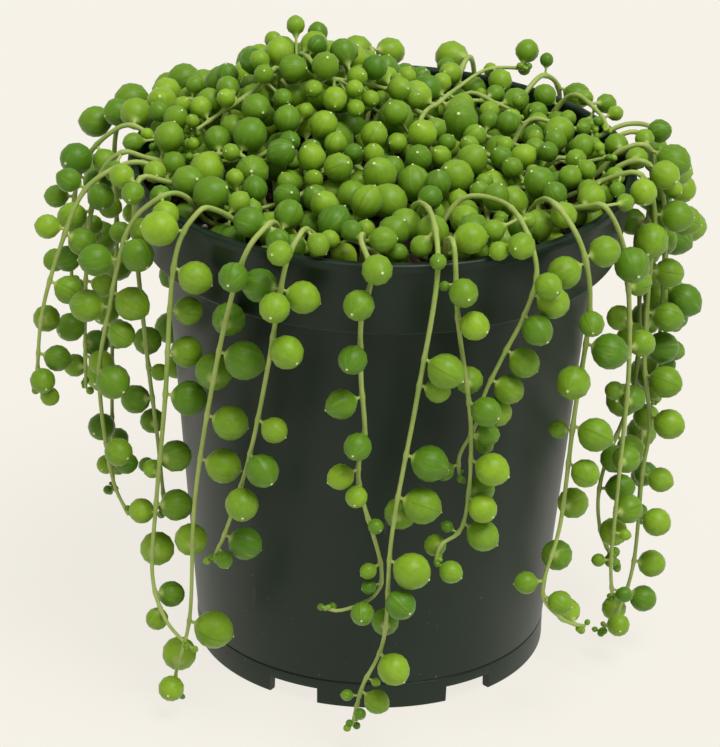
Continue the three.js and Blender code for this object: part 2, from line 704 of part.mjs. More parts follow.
addPiece("pot", potSolid(), 0x34423d, 0.45);
addPiece("soil", soilSolid(), 0x2a211b, 1);
for (const { name, route, leaves } of stems) {
  let leafyStem = solid(stemBody(route));
  for (const leaf of leaves) leafyStem = leafyStem.add(solid(leafBody(leaf)));
  addPiece(name, leafyStem, 0x6fa03a, 0.4);
}

export default group;
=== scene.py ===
"""A potted string of pearls: the looks of its pot, soil, stems and leaves.

Lengths in this script are millimetres until a mesh is made, which is in metres. An angle round the
pot is in degrees: 0 is the front (-Y), 90 the right (+X), 180 the back.
"""

import math

import bpy
import numpy as np
from mathutils import Matrix, Vector


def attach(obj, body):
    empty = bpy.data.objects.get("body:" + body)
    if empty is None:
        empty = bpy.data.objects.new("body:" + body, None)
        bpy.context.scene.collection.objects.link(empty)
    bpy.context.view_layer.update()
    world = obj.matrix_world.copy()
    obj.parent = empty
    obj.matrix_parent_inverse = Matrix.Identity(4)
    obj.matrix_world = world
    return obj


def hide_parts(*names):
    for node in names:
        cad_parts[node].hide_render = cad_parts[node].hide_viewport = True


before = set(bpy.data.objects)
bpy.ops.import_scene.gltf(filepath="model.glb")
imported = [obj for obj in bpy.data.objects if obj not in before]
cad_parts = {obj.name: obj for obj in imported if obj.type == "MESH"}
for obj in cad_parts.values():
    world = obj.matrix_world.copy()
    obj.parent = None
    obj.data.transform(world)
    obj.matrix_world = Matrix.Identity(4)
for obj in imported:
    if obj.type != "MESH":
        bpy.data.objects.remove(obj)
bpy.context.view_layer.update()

MM = 0.001

# ---------- the pot ----------

POT_HEIGHT = 114
RIM_RADIUS = 55
LIP_WIDTH = 2.2
LIP_HEIGHT = 2
LIP_PROUD = 0.5
COLLAR_HEIGHT = 17.5
COLLAR_FOOT = 52
BODY_TOP = 47
BODY_FOOT = 38.8
WALL = 1.4
FOOT_BAND = 6.2
FOOT_RING = 2
FLOOR_UNDER = 4
FLOOR_THICK = 1.5
NOTCH_ANGLES = (-25, 35, 95, 155, 215, 275)
NOTCH_WIDTH = 11.5
NOTCH_HEIGHT = 3.6
DRAIN_RADIUS = 4
DRAIN_DISTANCE = 29

LEDGE = POT_HEIGHT - COLLAR_HEIGHT
LIP_FOOT = POT_HEIGHT - LIP_HEIGHT
LIP_INSIDE = RIM_RADIUS - LIP_WIDTH
GAP = 0.3

# ---------- the soil ----------

SOIL_AT_WALL = 103
SOIL_DOME = 4
SOIL_ROUGH = 0.7
ROOT_DEPTH = 3
UPRIGHT = 1.5

# ---------- the stems and leaves ----------

LEAF_STALK = 1.3
LEAF_TIP = 0.12
STEP = 1.25
MOUND_EDGE = 116
MOUND_RISE = 17
MOUND_PEAK = (-17, 14)
MOUND_SPREAD = 24

# Where each trailing stem stands in the soil, as (angle, distance), then its way over the rim and
# down to its tip, as (angle, distance, height).
TRAILING = {
    "front_1": [(-38, 31), (-42, 57, 119), (-45, 60.5, 108), (-47, 61, 75), (-49.5, 61, 50), (-50, 61.5, 32),
                (-44, 63, 24), (-37, 63, 20)],
    "front_2": [(-27, 37), (-25, 56.5, 120), (-28, 60.5, 113), (-33, 61, 90), (-39, 60, 55), (-41, 59, 25),
                (-45, 59, 9), (-43, 60, 4)],
    "front_3": [(-14, 30), (-17, 57, 120), (-19, 60, 113), (-22, 60.5, 90), (-26, 60, 68), (-32, 59, 48),
                (-35.5, 59, 40)],
    "front_4": [(-5, 38), (-4, 56.5, 120), (-1.5, 60, 114), (-3.3, 60, 104), (-3, 60, 90), (-2, 60, 78),
                (-3, 59, 66), (2, 57.5, 46), (1, 57, 38), (-6, 58, 34.5), (-10, 58, 35)],
    "front_5": [(9, 27), (13, 33, 118), (13, 48, 121), (11.3, 60.5, 113), (8, 61, 86), (4, 61, 55),
                (3, 61, 30), (-1, 59, 17), (-3, 59, 7)],
    "front_6": [(17, 41), (15.5, 57, 118.5), (16, 60, 103), (19.5, 60, 78), (19, 59.5, 56), (14, 60, 51),
                (13, 60.5, 46)],
    "front_7": [(17, 34), (29, 34, 118), (36, 42, 120), (33, 54, 120), (32.5, 60.5, 112), (30.5, 60, 102.5),
                (27, 58.5, 93.5), (23.5, 57, 84), (22, 56, 76), (19, 55, 69), (19.5, 55, 63)],
    "front_8": [(54, 36), (47, 46, 119.5), (42, 57.5, 120.5), (44, 61.5, 112), (46.5, 61, 98),
                (44, 60.5, 75), (42, 60, 50), (38, 60, 35), (44, 60, 26), (52, 60, 21)],
    "right_1": [(61, 23), (56, 57, 118), (59, 60.5, 106), (63, 60.5, 80), (64, 59, 50), (66, 57.5, 30),
                (70, 57, 18)],
    "right_2": [(94, 38), (92, 57, 118), (96, 59, 108), (98, 58, 84), (91, 57, 62), (77, 51.5, 45),
                (75, 52, 33), (78, 55.5, 23)],
    "right_3": [(75, 28), (75, 57, 118.5), (80, 59.5, 108), (81, 59, 90), (81, 59, 72), (80.5, 61, 57),
                (80, 60, 45), (81, 59, 22), (79, 56, 10), (76, 52, 6)],
    "right_4": [(84, 42), (84, 57, 117.5), (88, 61, 107), (90, 62, 85), (88, 61.5, 68), (86, 61, 58)],
    "right_5": [(106, 30), (106, 57, 117.5), (111, 64.5, 112.5), (117, 72, 100), (119.5, 74.3, 82),
                (118, 73, 60)],
    "left_1": [(-53, 38), (-54, 57, 118.5), (-59, 62, 110), (-61, 65.5, 90), (-62, 67, 74), (-60, 65, 52),
               (-58, 62, 43)],
    "left_2": [(-65, 27), (-64, 57, 118.5), (-64, 58, 108), (-62, 56, 80), (-60, 54, 58), (-58, 53, 40)],
    "left_3": [(-75, 38), (-73, 57, 118.5), (-74, 65.5, 113), (-74, 70.7, 101), (-74.5, 75, 84),
               (-75, 76, 66)],
    "left_4": [(-83, 29), (-81, 57, 117.5), (-84, 62, 108), (-86, 64, 85), (-84, 64, 60)],
    "left_5": [(-98, 38), (-96, 57, 117.5), (-96, 65, 109), (-96, 68, 95), (-96, 68, 78)],
}

# Leaves on the trailing stems that are listed one by one: the height of the leaf's middle, the angle it
# points to (as round the pot, so 0 is to the front) and its radius.
PLACED = {
    "front_1": [(114.5, -75, 3.9), (106, 90, 3.6), (96, 120, 3.1), (86, 125, 3.4), (76, 115, 3.8),
                (60, 137, 3.5), (56, -170, 2.1), (48, 115, 3.5), (36, 170, 3.8), (28, 138, 2.9),
                (25, 180, 2.5)],
    "front_2": [(111.5, -15, 3.2), (97, 170, 3.6), (91, 90, 4.2), (83, 180, 4.1), (74.5, 90, 3.8),
                (64, 90, 3.8), (41, 156, 3.6), (23, 100, 4.2), (11, 149, 3.8), (7, 20, 3.4)],
    "front_3": [(116.5, -50, 3.0), (108, -120, 4.0), (106.5, -25, 3.3), (107.5, 75, 3.8), (97, 40, 3.6),
                (77, 65, 2.8), (68, 38, 3.6), (60, 10, 3.6), (47, 90, 3.6), (44, 33, 1.9)],
    "front_4": [(115, 20, 3.3), (109, -20, 3.3), (96.5, -20, 3.1), (85, -75, 3.2), (77, -18, 3.0),
                (68.5, -60, 2.8), (64.5, -10, 2.4), (56, 30, 1.7), (46, -60, 1.8), (41, -60, 1.6),
                (37, 180, 2.5), (35.5, 10, 2.6)],
    "front_5": [(116, 0, 1.8), (95, 80, 3.8), (88, 70, 3.6), (72.5, 90, 3.9),
                (62.5, 90, 4.0), (57, 163, 3.8), (47.5, 65, 4.0), (40, 37, 3.3), (31.5, 180, 3.0),
                (25, 47, 3.5), (18.5, 90, 1.0), (15, 70, 2.7), (14.5, -90, 1.3), (11.5, 20, 1.3)],
    "front_6": [(111, -90, 1.1), (110, 20, 3.1), (103.5, 50, 3.1), (87.5, 160, 3.0), (83, 50, 3.2),
                (76, 120, 2.4), (70, 65, 3.6), (62.5, 172, 3.0), (61, 60, 3.1), (54.5, 80, 3.4),
                (53, -90, 1.3), (50, 150, 2.4), (46, 60, 2.5)],
    "front_7": [(116, 10, 3.2), (110.5, 35, 2.9), (106, 100, 3.5), (101, 60, 3.3), (93, 90, 3.3),
                (86, 100, 3.2), (79, 120, 3.2), (74, 90, 2.1), (66, -60, 2.2)],
    "front_8": [(110.5, -80, 3.6), (111, 120, 3.4), (98.5, 5, 2.8), (91, 90, 3.9), (84, -20, 3.7),
                (72, 75, 3.7), (70.5, -125, 2.1), (63, 55, 3.1), (53, 150, 3.4), (42, 158, 3.4),
                (36.5, -80, 2.5), (32.5, 60, 2.7), (22.5, 180, 2.8)],
    "right_1": [(107, 15, 3.9), (98, 150, 3.0), (90, -150, 2.8), (83, 140, 3.0), (72, -130, 2.1),
                (70, 160, 3.0), (55, 160, 3.2), (42.5, 140, 3.3), (38, 90, 1.3), (30, -100, 1.5),
                (22, 60, 1.8)],
    "right_3": [(117.8, -45, 3.0), (107, 95, 3.5), (104.5, -10, 3.9), (92.5, 110, 3.2), (82.5, 90, 3.3),
                (74.5, 140, 3.6), (68.5, 60, 3.6), (58.5, 60, 3.4), (44, 80, 2.8), (35, 60, 3.2),
                (21.5, 110, 3.1), (15, 100, 3.0), (10.5, 180, 2.8), (9, 10, 2.6)],
    "right_5": [(110, -15, 2.8), (104, -120, 3.0), (97, 30, 3.2), (92, -100, 3.4), (84, 103, 3.7),
                (78, -90, 3.2), (73, 0, 3.0), (68, 150, 2.8), (64, -60, 2.2), (61, 90, 1.6)],
    "left_1": [(117.5, 60, 3.0), (106.5, 45, 3.6), (102, -85, 3.5), (95, 65, 3.7), (91, -100, 3.6),
               (87, 55, 3.0), (76.5, 40, 3.7), (59.5, 40, 3.1), (54, 110, 2.4), (44, 60, 2.8),
               (42, 120, 2.1)],
    "left_2": [(117, -90, 3.2), (108, 60, 3.2), (106, -120, 2.4), (80, 150, 3.4), (75, 80, 1.9),
               (67, -120, 3.2), (61, 165, 3.3), (53, -90, 1.7), (46, 60, 1.6)],
    "left_3": [(112, -90, 2.7), (103, -90, 2.7), (102, 110, 3.1), (91, 90, 3.1), (82, 165, 3.0),
               (74.5, 90, 2.9), (71, 20, 2.8), (66, 60, 2.1)],
    "left_4": [(109.5, 20, 3.0), (104, 90, 2.6), (102, -60, 3.2), (97, 170, 2.3), (91, -80, 2.9),
               (84, 90, 2.6), (82, -100, 2.6), (76, -40, 3.2), (70, 150, 3.0), (67, 60, 2.8),
               (65, -140, 2.6)],
    "left_5": [(112, 60, 2.8), (110, -20, 3.6), (104, 100, 3.2), (100, -95, 2.6), (92, 90, 2.8),
               (86, -60, 2.6), (80, 20, 2.4)],
}
# Leaves listed in the same way near the crests of other stems. The rule grows their rest.
AT_CREST = {
    "right_2": [(117, 180, 2.9), (109.5, 30, 3.1)],
    "back_1": [(111, 15, 2.9), (103, -90, 3.0)],
}
PLACED_DROOP = 12
PLACED_CHANGES = [(size, turn) for size in (1, 0.92, 0.84, 0.76) for turn in (0, 15, -15, 30, -30)]

# Stems that lie over the foliage, seen from above as (x, y).
ARCHES = [
    [(-36, 22), (-42, 15), (-46, 6), (-49, -2)],
    [(-24, -17), (-29, -13), (-35, -10), (-42, -9)],
    [(-25, 22), (-23, 11), (-29, 6), (-36, 3), (-42, -1)],
    [(-25, 30), (-19, 17), (-13, 8), (-5, 11), (3, 16)],
    [(5, 0), (8, 8), (12, 22), (16, 36), (23, 45), (32, 46)],
    [(12, 30), (18, 33), (25, 29), (30, 24)],
    [(27, 18), (32, 21), (40, 18), (47, 10)],
    [(34, 34), (41, 31), (47, 22), (49, 12)],
    [(14, -3), (20, -1), (26, -4), (31, -14)],
    [(31, -2), (37, 0), (43, -1), (49, -2)],
]
ARCH_SHARE = 0.92
ARCH_NEAR_RIM = 46
ARCH_OVER_RIM = 3.3

# A trailing stem rises to its crest through a point inside the rim, this far in and this far lower.
INSIDE_RIM = 4
BELOW_CREST = 1.3

# Stems at the back: by turns long with the root near the wall, and short with it further in. The
# angles between which they stand, the roots' distances, the crests as (distance, height), how far out
# they hang, and the lowest and highest tip of each kind.
BACK_STEMS = 11
BACK_FROM = 108
BACK_TO = 250
BACK_ROOTS = (38, 27)
BACK_CREST = (57, 116.5)
BACK_OUT = 62
BACK_TOP = 116
BACK_TIPS = ((12, 50), (60, 85))

# Stems that creep through the foliage, in two tiers: the share of its height, and the turn on the way
# out. The roots stand round the heart by the golden angle.
CREEPERS = 14
GOLDEN_ANGLE = 137.5
CREEPER_PITCH = 4.5
CREEPER_SHARES = (0.5, 0.76)
CREEPER_TURNS = (60, -65)
CREEPER_REACH = 43
CREEPER_HEART = (-9, 7)

STEM_CLEAR = 2.3
MOST_TRIES = 200


# ---------- small helpers ----------

def mix(a, b, t):
    return a + (b - a) * t


def unit(v):
    """The same directions with length 1."""
    return v / np.linalg.norm(v, axis=-1, keepdims=True)


def polar(angle, distance, z=0.0):
    turn = math.radians(angle)
    return np.array([distance * math.sin(turn), -distance * math.cos(turn), z])


def draw(i, k, what):
    """A repeatable draw from 0 to 1 for the k-th thing on the i-th stem. Arrays give arrays."""
    s = np.sin(i * 12.9898 + k * 78.233 + what * 37.719) * 43758.5453
    return s - np.floor(s)


def spread(i, k, what):
    return 2 * draw(i, k, what) - 1


def soil_top(x, y):
    """The soil is a low dome: its height falls with the square of the distance from the axis."""
    out = np.minimum(1, np.hypot(x, y) / RIM_RADIUS)
    return SOIL_AT_WALL + SOIL_DOME * (1 - out * out)


def mound_top(x, y):
    """The foliage's top surface is a level plus a bell round its peak."""
    away = np.hypot(x - MOUND_PEAK[0], y - MOUND_PEAK[1]) / MOUND_SPREAD
    return MOUND_EDGE + MOUND_RISE * np.exp(-away * away)


# ---------- the stems' routes ----------

def walk(points):
    """The smooth curve (Catmull-Rom) through the points, cut into 24 straight bits a span and then
    walked in even steps."""
    points = np.array(points, float)
    per_span = 24
    last = len(points) - 1
    i = np.arange(last * per_span + 1)
    span = np.minimum(last - 1, i // per_span)
    t = (i / per_span - span)[:, None]
    a = points[np.maximum(0, span - 1)]
    b = points[span]
    c = points[span + 1]
    d = points[np.minimum(last, span + 2)]
    line = 0.5 * (
        a * (-t + 2 * t**2 - t**3)
        + b * (2 - 5 * t**2 + 3 * t**3)
        + c * (t + 4 * t**2 - 3 * t**3)
        + d * (-(t**2) + t**3)
    )
    length = np.concatenate([[0], np.cumsum(np.linalg.norm(np.diff(line, axis=0), axis=1))])
    at = np.arange(0, length[-1], STEP)
    return np.stack([np.interp(at, length, line[:, axis]) for axis in range(3)], axis=1)


def from_soil(x, y):
    """A stem's first points: straight up out of its hole in the soil."""
    ground = soil_top(x, y)
    return [np.array([x, y, ground + rise]) for rise in (-ROOT_DEPTH, 0, UPRIGHT)]


def in_foliage(x, y, share):
    """A point in the foliage: share 0 is on the soil, 1 at the top surface."""
    return np.array([x, y, mix(soil_top(x, y), mound_top(x, y), share)])


def trailing_route(plan):
    root, *way = plan
    foot = polar(*root)
    points = from_soil(foot[0], foot[1])
    angle, distance, height = way[0]
    if distance > RIM_RADIUS:
        middle = polar(mix(root[0], angle, 0.5), mix(root[1], distance, 0.4))
        points.append(in_foliage(middle[0], middle[1], 0.5))
        points.append(polar(angle, RIM_RADIUS - INSIDE_RIM, height - BELOW_CREST))
    return walk(points + [polar(*place) for place in way])


def back_route(n, go):
    """A stem at the back, long or short by turns."""
    short = n % 2
    angle = mix(BACK_FROM, BACK_TO, n / (BACK_STEMS - 1)) + 5 * spread(n, go, 1)
    root = BACK_ROOTS[short] + 3 * spread(n, go, 2)
    lean = 6 * spread(n, go, 3)
    out = BACK_OUT + 2 * spread(n, go, 4)
    tip = mix(*BACK_TIPS[short], draw(n, go, 5))
    fall = [
        (angle + lean * down + spread(n, go, 6 + i), out, mix(BACK_TOP, tip, down))
        for i, down in enumerate((0.08, 0.35, 0.65, 1))
    ]
    return trailing_route([(angle, root), (angle, *BACK_CREST), *fall])


def arch_route(plan):
    """A stem that lies over the foliage, and near the rim no lower than a little above it."""
    way = [in_foliage(x, y, ARCH_SHARE) for x, y in plan[1:]]
    for p in way:
        if math.hypot(p[0], p[1]) > ARCH_NEAR_RIM:
            p[2] = max(p[2], POT_HEIGHT + ARCH_OVER_RIM)
    return walk(from_soil(*plan[0]) + way)


def creeper_route(n, go):
    """A stem that creeps outward in a curl."""
    tier = n % len(CREEPER_SHARES)
    angle = GOLDEN_ANGLE * n + 40 * spread(n, go, 1)
    foot = CREEPER_PITCH * math.sqrt(n + 0.6) + 2 * spread(n, go, 2)
    share = CREEPER_SHARES[tier] + 0.06 * spread(n, go, 3)
    plan = []
    for out in (0, 0.15, 0.45, 0.75, 1):
        distance = mix(foot, CREEPER_REACH, out)
        place = polar(angle + CREEPER_TURNS[tier] * (distance - foot) / CREEPER_REACH, distance)
        plan.append((mix(CREEPER_HEART[0], 0, out) + place[0], mix(CREEPER_HEART[1], 0, out) + place[1]))
    return walk(from_soil(*plan[0]) + [in_foliage(x, y, share) for x, y in plan[1:]])


stems = []


def add_stem(name, route, hangs):
    stems.append({"name": name, "route": route, "hangs": hangs, "leaves": []})


def clear_of_stems(route):
    for stem in stems:
        apart = stem["route"][:, None] - route[None]
        if ((apart * apart).sum(axis=2) <= STEM_CLEAR * STEM_CLEAR).any():
            return False
    return True


def add_drawn_stem(name, route_of, hangs):
    """Adds the first of the drawn routes that is clear of all stems so far, if there is one."""
    for go in range(MOST_TRIES):
        route = route_of(go)
        if clear_of_stems(route):
            add_stem(name, route, hangs)
            return


for trail, trail_plan in TRAILING.items():
    add_stem(f"trailing_{trail}", trailing_route(trail_plan), True)
for n, arch_plan in enumerate(ARCHES):
    add_stem(f"arch_{n + 1}", arch_route(arch_plan), False)
for n in range(BACK_STEMS):
    add_drawn_stem(f"trailing_back_{n + 1}", lambda go, n=n: back_route(n, go), True)
for n in range(CREEPERS):
    add_drawn_stem(f"creeper_{n + 1}", lambda go, n=n: creeper_route(n, go), False)


# ---------- room for the leaves ----------

# The pot's wall as (radius, height), from the soil over the lip to the ground.
POT_OUTLINE = np.array([
    (COLLAR_FOOT - WALL, LEDGE),
    (LIP_INSIDE, LIP_FOOT),
    (LIP_INSIDE, POT_HEIGHT),
    (RIM_RADIUS, POT_HEIGHT),
    (RIM_RADIUS, LIP_FOOT),
    (COLLAR_FOOT, LEDGE),
    (BODY_TOP, LEDGE),
    (BODY_FOOT, 0),
])
STEM_BALL = 1.1
MOST_BALLS = 20000
OWN_GAP = 0.1
OTHER_GAP = 0.2

# How far a leaf's top may stand above the mound's surface, in front and from this far back.
CEILING = (5, 2.5)
FAR_BACK = 40


def distance_to_pot(p):
    here = np.array([math.hypot(p[0], p[1]), p[2]])
    start = POT_OUTLINE[:-1]
    side = np.diff(POT_OUTLINE, axis=0)
    along = ((here - start) * side).sum(axis=1) / (side * side).sum(axis=1)
    away = here - start - side * np.clip(along, 0, 1)[:, None]
    return math.sqrt((away * away).sum(axis=1).min())


def above_mound(x, y, front, back):
    """The height that far above the mound's surface, which changes from front to back."""
    return mound_top(x, y) + mix(front, back, min(1, max(0, y / FAR_BACK)))


class Room:
    """The balls that fill what is in place: one at each step of a stem, and three for each leaf."""

    def __init__(self):
        self.centre = np.zeros((MOST_BALLS, 3))
        self.radius = np.zeros(MOST_BALLS)
        self.stem = np.full(MOST_BALLS, -1)
        self.of_stem = np.zeros(MOST_BALLS, bool)
        self.count = 0

    def add(self, centre, radius, stem, of_stem=False):
        i = self.count
        self.centre[i], self.radius[i], self.stem[i], self.of_stem[i] = centre, radius, stem, of_stem
        self.count += 1

    def is_free(self, p, radius, stem, neck=False):
        """Whether a ball on that stem is clear of the pot, the soil, the ground and the other balls."""
        inside = math.hypot(p[0], p[1]) < LIP_INSIDE
        above = p[2] - soil_top(p[0], p[1]) - SOIL_ROUGH if inside else p[2]
        if above <= radius or distance_to_pot(p) <= radius + GAP:
            return False
        n = self.count
        own = self.stem[:n] == stem
        reach = self.radius[:n] + radius + np.where(own, OWN_GAP, OTHER_GAP)
        apart = self.centre[:n] - p
        hit = (apart * apart).sum(axis=1) <= reach * reach
        if neck:
            hit &= ~(own & self.of_stem[:n])
        return not hit.any()


room = Room()
for s, stem in enumerate(stems):
    for p in stem["route"]:
        room.add(p, STEM_BALL, s, of_stem=True)


# ---------- where the leaves grow ----------

# In the foliage and on the hanging part of a stem: the turns round it that are tried for a leaf, the
# usual radius and how much it varies, over what distance from the tip the leaves grow to full size,
# and the steps between the nodes, which are closer near a hanging tip.
WIDE_TURNS = (35, -35, 75, -75, 5, 110, -110)
HANGING_TURNS = (80, 60, 100, 40, 15, -30, 125, -60, -90)
WIDE_SIZE = (3.55, 0.55)
HANGING_SIZE = (3.5, 0.5)
WIDE_GROWN = 14
HANGING_GROWN = 26
WIDE_PITCH = 5.2
HANGING_PITCH = 7.5
TIP_PITCH = 4
NEAR_TIP = 12
FIRST_NODE = 6
SIZES = (1, 0.85, 0.7, 0.55)
LEAST_LEAF = 0.8

# The small balls at a leaf's point and at its neck: where they stand and their size, in leaf radii.
POINT_BALL_AT = 0.85
POINT_BALL = 0.15
NECK_BALL_AT = 0.75
NECK_BALL = 0.5


def is_hanging(stem, at):
    x, y = stem["route"][at][:2]
    return stem["hangs"] and math.hypot(x, y) > RIM_RADIUS - 2


def to_tip(stem, at):
    return (len(stem["route"]) - 1 - at) * STEP


def directions(stem, at):
    """Along the stem, its face (up on the soil, outward on the pot) and its side."""
    route = stem["route"]
    along = unit(route[min(at + 2, len(route) - 1)] - route[max(at - 2, 0)])
    x, y = route[at][:2]
    face = unit(np.array([x, y, math.hypot(x, y)]))
    face = unit(face - along * (face @ along))
    return along, face, np.cross(along, face)


def turned(stem, at, turn):
    """The way across the stem at that turn round it. Turn 0 is its face."""
    along, face, side = directions(stem, at)
    angle = math.radians(turn)
    return along, face * math.cos(angle) + side * math.sin(angle)


def pointed(stem, at, angle):
    """The way across the stem that is nearest to that angle round the pot."""
    along = directions(stem, at)[0]
    way = polar(angle, 1)
    return along, unit(way - along * (way @ along))


def new_leaf(root, out, reach, radius, centre, neck):
    """A leaf with the three balls that it fills: its body, its point and its neck."""
    point = (centre + out * radius * (LEAF_TIP + POINT_BALL_AT), POINT_BALL * radius, False)
    filled = [(centre, radius, False), point, neck]
    return {"root": root, "out": out, "reach": reach, "radius": radius, "centre": centre, "filled": filled}


def leaf_at(s, at, radius, ways, droop):
    """The leaf of that size that goes across its stem and droops along it by an angle."""
    stem = stems[s]
    along, across = ways
    droop = math.radians(droop)
    out = across * math.cos(droop) + along * math.sin(droop)
    reach = (radius + LEAF_STALK) / math.cos(droop)
    root = stem["route"][at]
    centre = root + out * reach
    neck = (centre - out * radius * NECK_BALL_AT, NECK_BALL * radius, True)
    return new_leaf(root, out, reach, radius, centre, neck)


def place_leaf(s, leaf, any_height=False):
    """Adds the leaf to its stem if it fits and, unless any height will do, is under the ceiling."""
    for centre, radius, neck in leaf["filled"]:
        if not room.is_free(centre, radius, s, neck):
            return False
    x, y, z = leaf["centre"]
    if not any_height and z + leaf["radius"] > above_mound(x, y, *CEILING):
        return False
    for centre, radius, _ in leaf["filled"]:
        room.add(centre, radius, s)
    stems[s]["leaves"].append(leaf)
    return True


def grow_placed_leaf(s, height, angle, radius):
    """A listed leaf, a little smaller or turned a little where it has no room."""
    stem = stems[s]
    heights = stem["route"][:, 2]
    crest = heights.argmax()
    at = crest + np.abs(heights[crest:] - height - radius / 4).argmin()
    for size, more in PLACED_CHANGES:
        if place_leaf(s, leaf_at(s, at, radius * size, pointed(stem, at, angle + more), PLACED_DROOP)):
            return


def grow_leaf(s, k, at):
    """The first leaf that fits at a node, by size and then by turn round the stem."""
    stem = stems[s]
    hanging = is_hanging(stem, at)
    usual, more = HANGING_SIZE if hanging else WIDE_SIZE
    full = usual + more * spread(s, k, 1)
    droop = 18 + 14 * spread(s, k, 4) if hanging else 20 * spread(s, k, 4)
    young = min(1, 0.3 + to_tip(stem, at) / (HANGING_GROWN if hanging else WIDE_GROWN))
    swap = 1 if hanging else np.sign(spread(s, k, 2))
    hand = swap if k % 2 else -swap
    for size in SIZES:
        radius = full * young * size
        if radius < LEAST_LEAF:
            return
        for turn in HANGING_TURNS if hanging else WIDE_TURNS:
            ways = turned(stem, at, hand * turn + 12 * spread(s, k, 3))
            if place_leaf(s, leaf_at(s, at, radius, ways, droop)):
                return


def nodes_of(s):
    """A stem's nodes, from its tip back to the soil. They are closer in the foliage and near the tip."""
    stem = stems[s]
    nodes = []
    at = len(stem["route"]) - 2
    k = 0
    while at > FIRST_NODE:
        nodes.append((k, at))
        pitch = WIDE_PITCH
        if is_hanging(stem, at):
            pitch = TIP_PITCH if to_tip(stem, at) < NEAR_TIP else HANGING_PITCH
        at -= math.floor(pitch * (1 + 0.25 * spread(s, k, 5)) / STEP + 0.5)
        k += 1
    return nodes


def is_placed(s, at):
    """Whether the leaves of this part of the stem are listed one by one."""
    return stems[s]["name"].removeprefix("trailing_") in PLACED and is_hanging(stems[s], at)


# The leaves of the frame come first: those listed one by one, and two at every five nodes of the rest.
for s, stem in enumerate(stems):
    trail = stem["name"].removeprefix("trailing_")
    for place in PLACED.get(trail, []) + AT_CREST.get(trail, []):
        grow_placed_leaf(s, *place)


def grow_nodes(first_two):
    """Leaves at two of every five nodes, or else at the other three."""
    for s in range(len(stems)):
        for k, at in nodes_of(s):
            if (k % 5 < 2) == first_two and not is_placed(s, at):
                grow_leaf(s, k, at)


grow_nodes(first_two=True)


# ---------- the leaves of the mound ----------

# The leaves that show on top of the mound, listed one by one: where each stands, seen from above (x, y),
# its radius and, where it stands above or below the mound's own level, by how much.
MOUND_LEAVES = [
    (16.5, 46, 2.7), (11, 39, 2.7), (25, 43, 3.3), (31, 48, 2.7, 4.5), (36, 46, 1.6, 4.5), (32, 31.5, 2.3),
    (32, 22, 3.0), (16.5, 29, 2.5), (23, 18, 2.2), (27, 13, 2.7), (39, 14.5, 3.4), (40.5, 23.5, 1.9),
    (44.5, 24, 2.2), (49, 29, 2.3), (45, 4.5, 3.3), (53, -3, 3.3), (50, -17.5, 1.8), (51.5, -24, 2.0),
    (9, 14, 2.7), (2.5, 3, 3.3), (-3, 4.5, 2.0), (0.5, 22, 2.6), (2.5, 10.5, 2.7), (-5, 12, 2.8),
    (-6, 7, 2.3), (-2, -5.5, 3.0), (3, -4.5, 2.3), (6.7, -3, 3.3), (11, 2.5, 2.6), (12, -2, 2.0),
    (15, -7.5, 3.3), (20.4, -0.5, 2.4), (25, -12, 3.1), (24.5, -1.5, 2.0), (29.5, -2, 2.8), (33, 3.5, 2.4),
    (35.5, -2.5, 2.3), (38, -13.5, 2.8), (41.5, -4, 2.4), (43.5, -11.5, 2.2), (44, -18.5, 2.6),
    (33.4, -21.5, 3.5), (39.5, -27, 2.8), (33, -30.5, 3.4), (31, -36.5, 3.3), (24, -30, 3.0),
    (17.3, -28, 2.7), (21.5, -24.5, 2.3), (16.3, -19.5, 3.1), (11.8, -19.5, 2.9), (9.3, -12, 3.0),
    (3.8, -14.5, 3.0), (-2, -13.5, 2.4), (-1.2, -21.5, 3.8), (-6, -11.5, 2.0), (-1.3, -30.5, 3.8),
    (7.5, -29, 2.7), (18.7, -38.5, 3.5), (10.8, -42, 3.6), (2.7, -42.5, 3.4), (17, -48, 3.5),
    (-5.3, -47.5, 2.4), (21.5, -46.5, 2.4), (1.8, -51, 2.7), (8.5, -49.5, 2.4), (24.5, -48, 2.5),
    (-21.5, 24, 2.1, 4.7), (-24, 24, 2.0, 3.5), (-26.5, 22, 2.5, 2.3), (-28.7, 19, 3.0, 2.2),
    (-15, 22, 2.3, 3), (-15, 17, 2.3, 0.8), (-11.2, 18, 3.0, 0.5), (-8, 22, 2.2, 1.8), (-34.5, 20, 2.6),
    (-34, 10, 2.6), (-38, 12, 2.9), (-41.5, 14, 2.2), (-14.8, 7.5, 3.1), (-27.5, -1, 3.3), (-25.5, 10, 2.2),
    (-28.5, -8.5, 3.8), (-20.7, -5, 3.0), (-17.7, -1.5, 1.8), (-21.8, 0, 2.1), (-20, -9, 2.4),
    (-10.7, 0.5, 2.8), (-7, -0.5, 2.0), (-6.5, 3.5, 2.6), (-14.5, 0, 1.9), (-12.8, -6, 3.1),
    (-10.8, -9.5, 2.5), (-15.3, -12.8, 3.2), (-6.3, -12.5, 2.4), (-21.6, -14, 3.2), (-10, -18.8, 3.2),
    (-14.5, -21, 2.1), (-27.6, -18, 3.7), (-20, -28, 3.0), (-15.5, -27.5, 2.9), (-12.8, -34.5, 3.7),
    (-19.2, -39.5, 3.2), (-27.3, -42, 3.4), (-35.2, -30, 3.9), (-43.7, -24.5, 3.5), (-43.8, -30, 2.6),
    (-49.5, -31, 2.8), (-43.2, -6, 3.3), (-52, 9, 3.6), (-46, 6, 2.3), (-53.8, -1, 2.2), (-57.5, -9, 2.8),
    (-33, -22, 2.4), (-33, -13, 2.0), (-21.8, -49, 2.6), (-12.8, -51, 2.4), (-13.5, 3.5, 2.3),
]
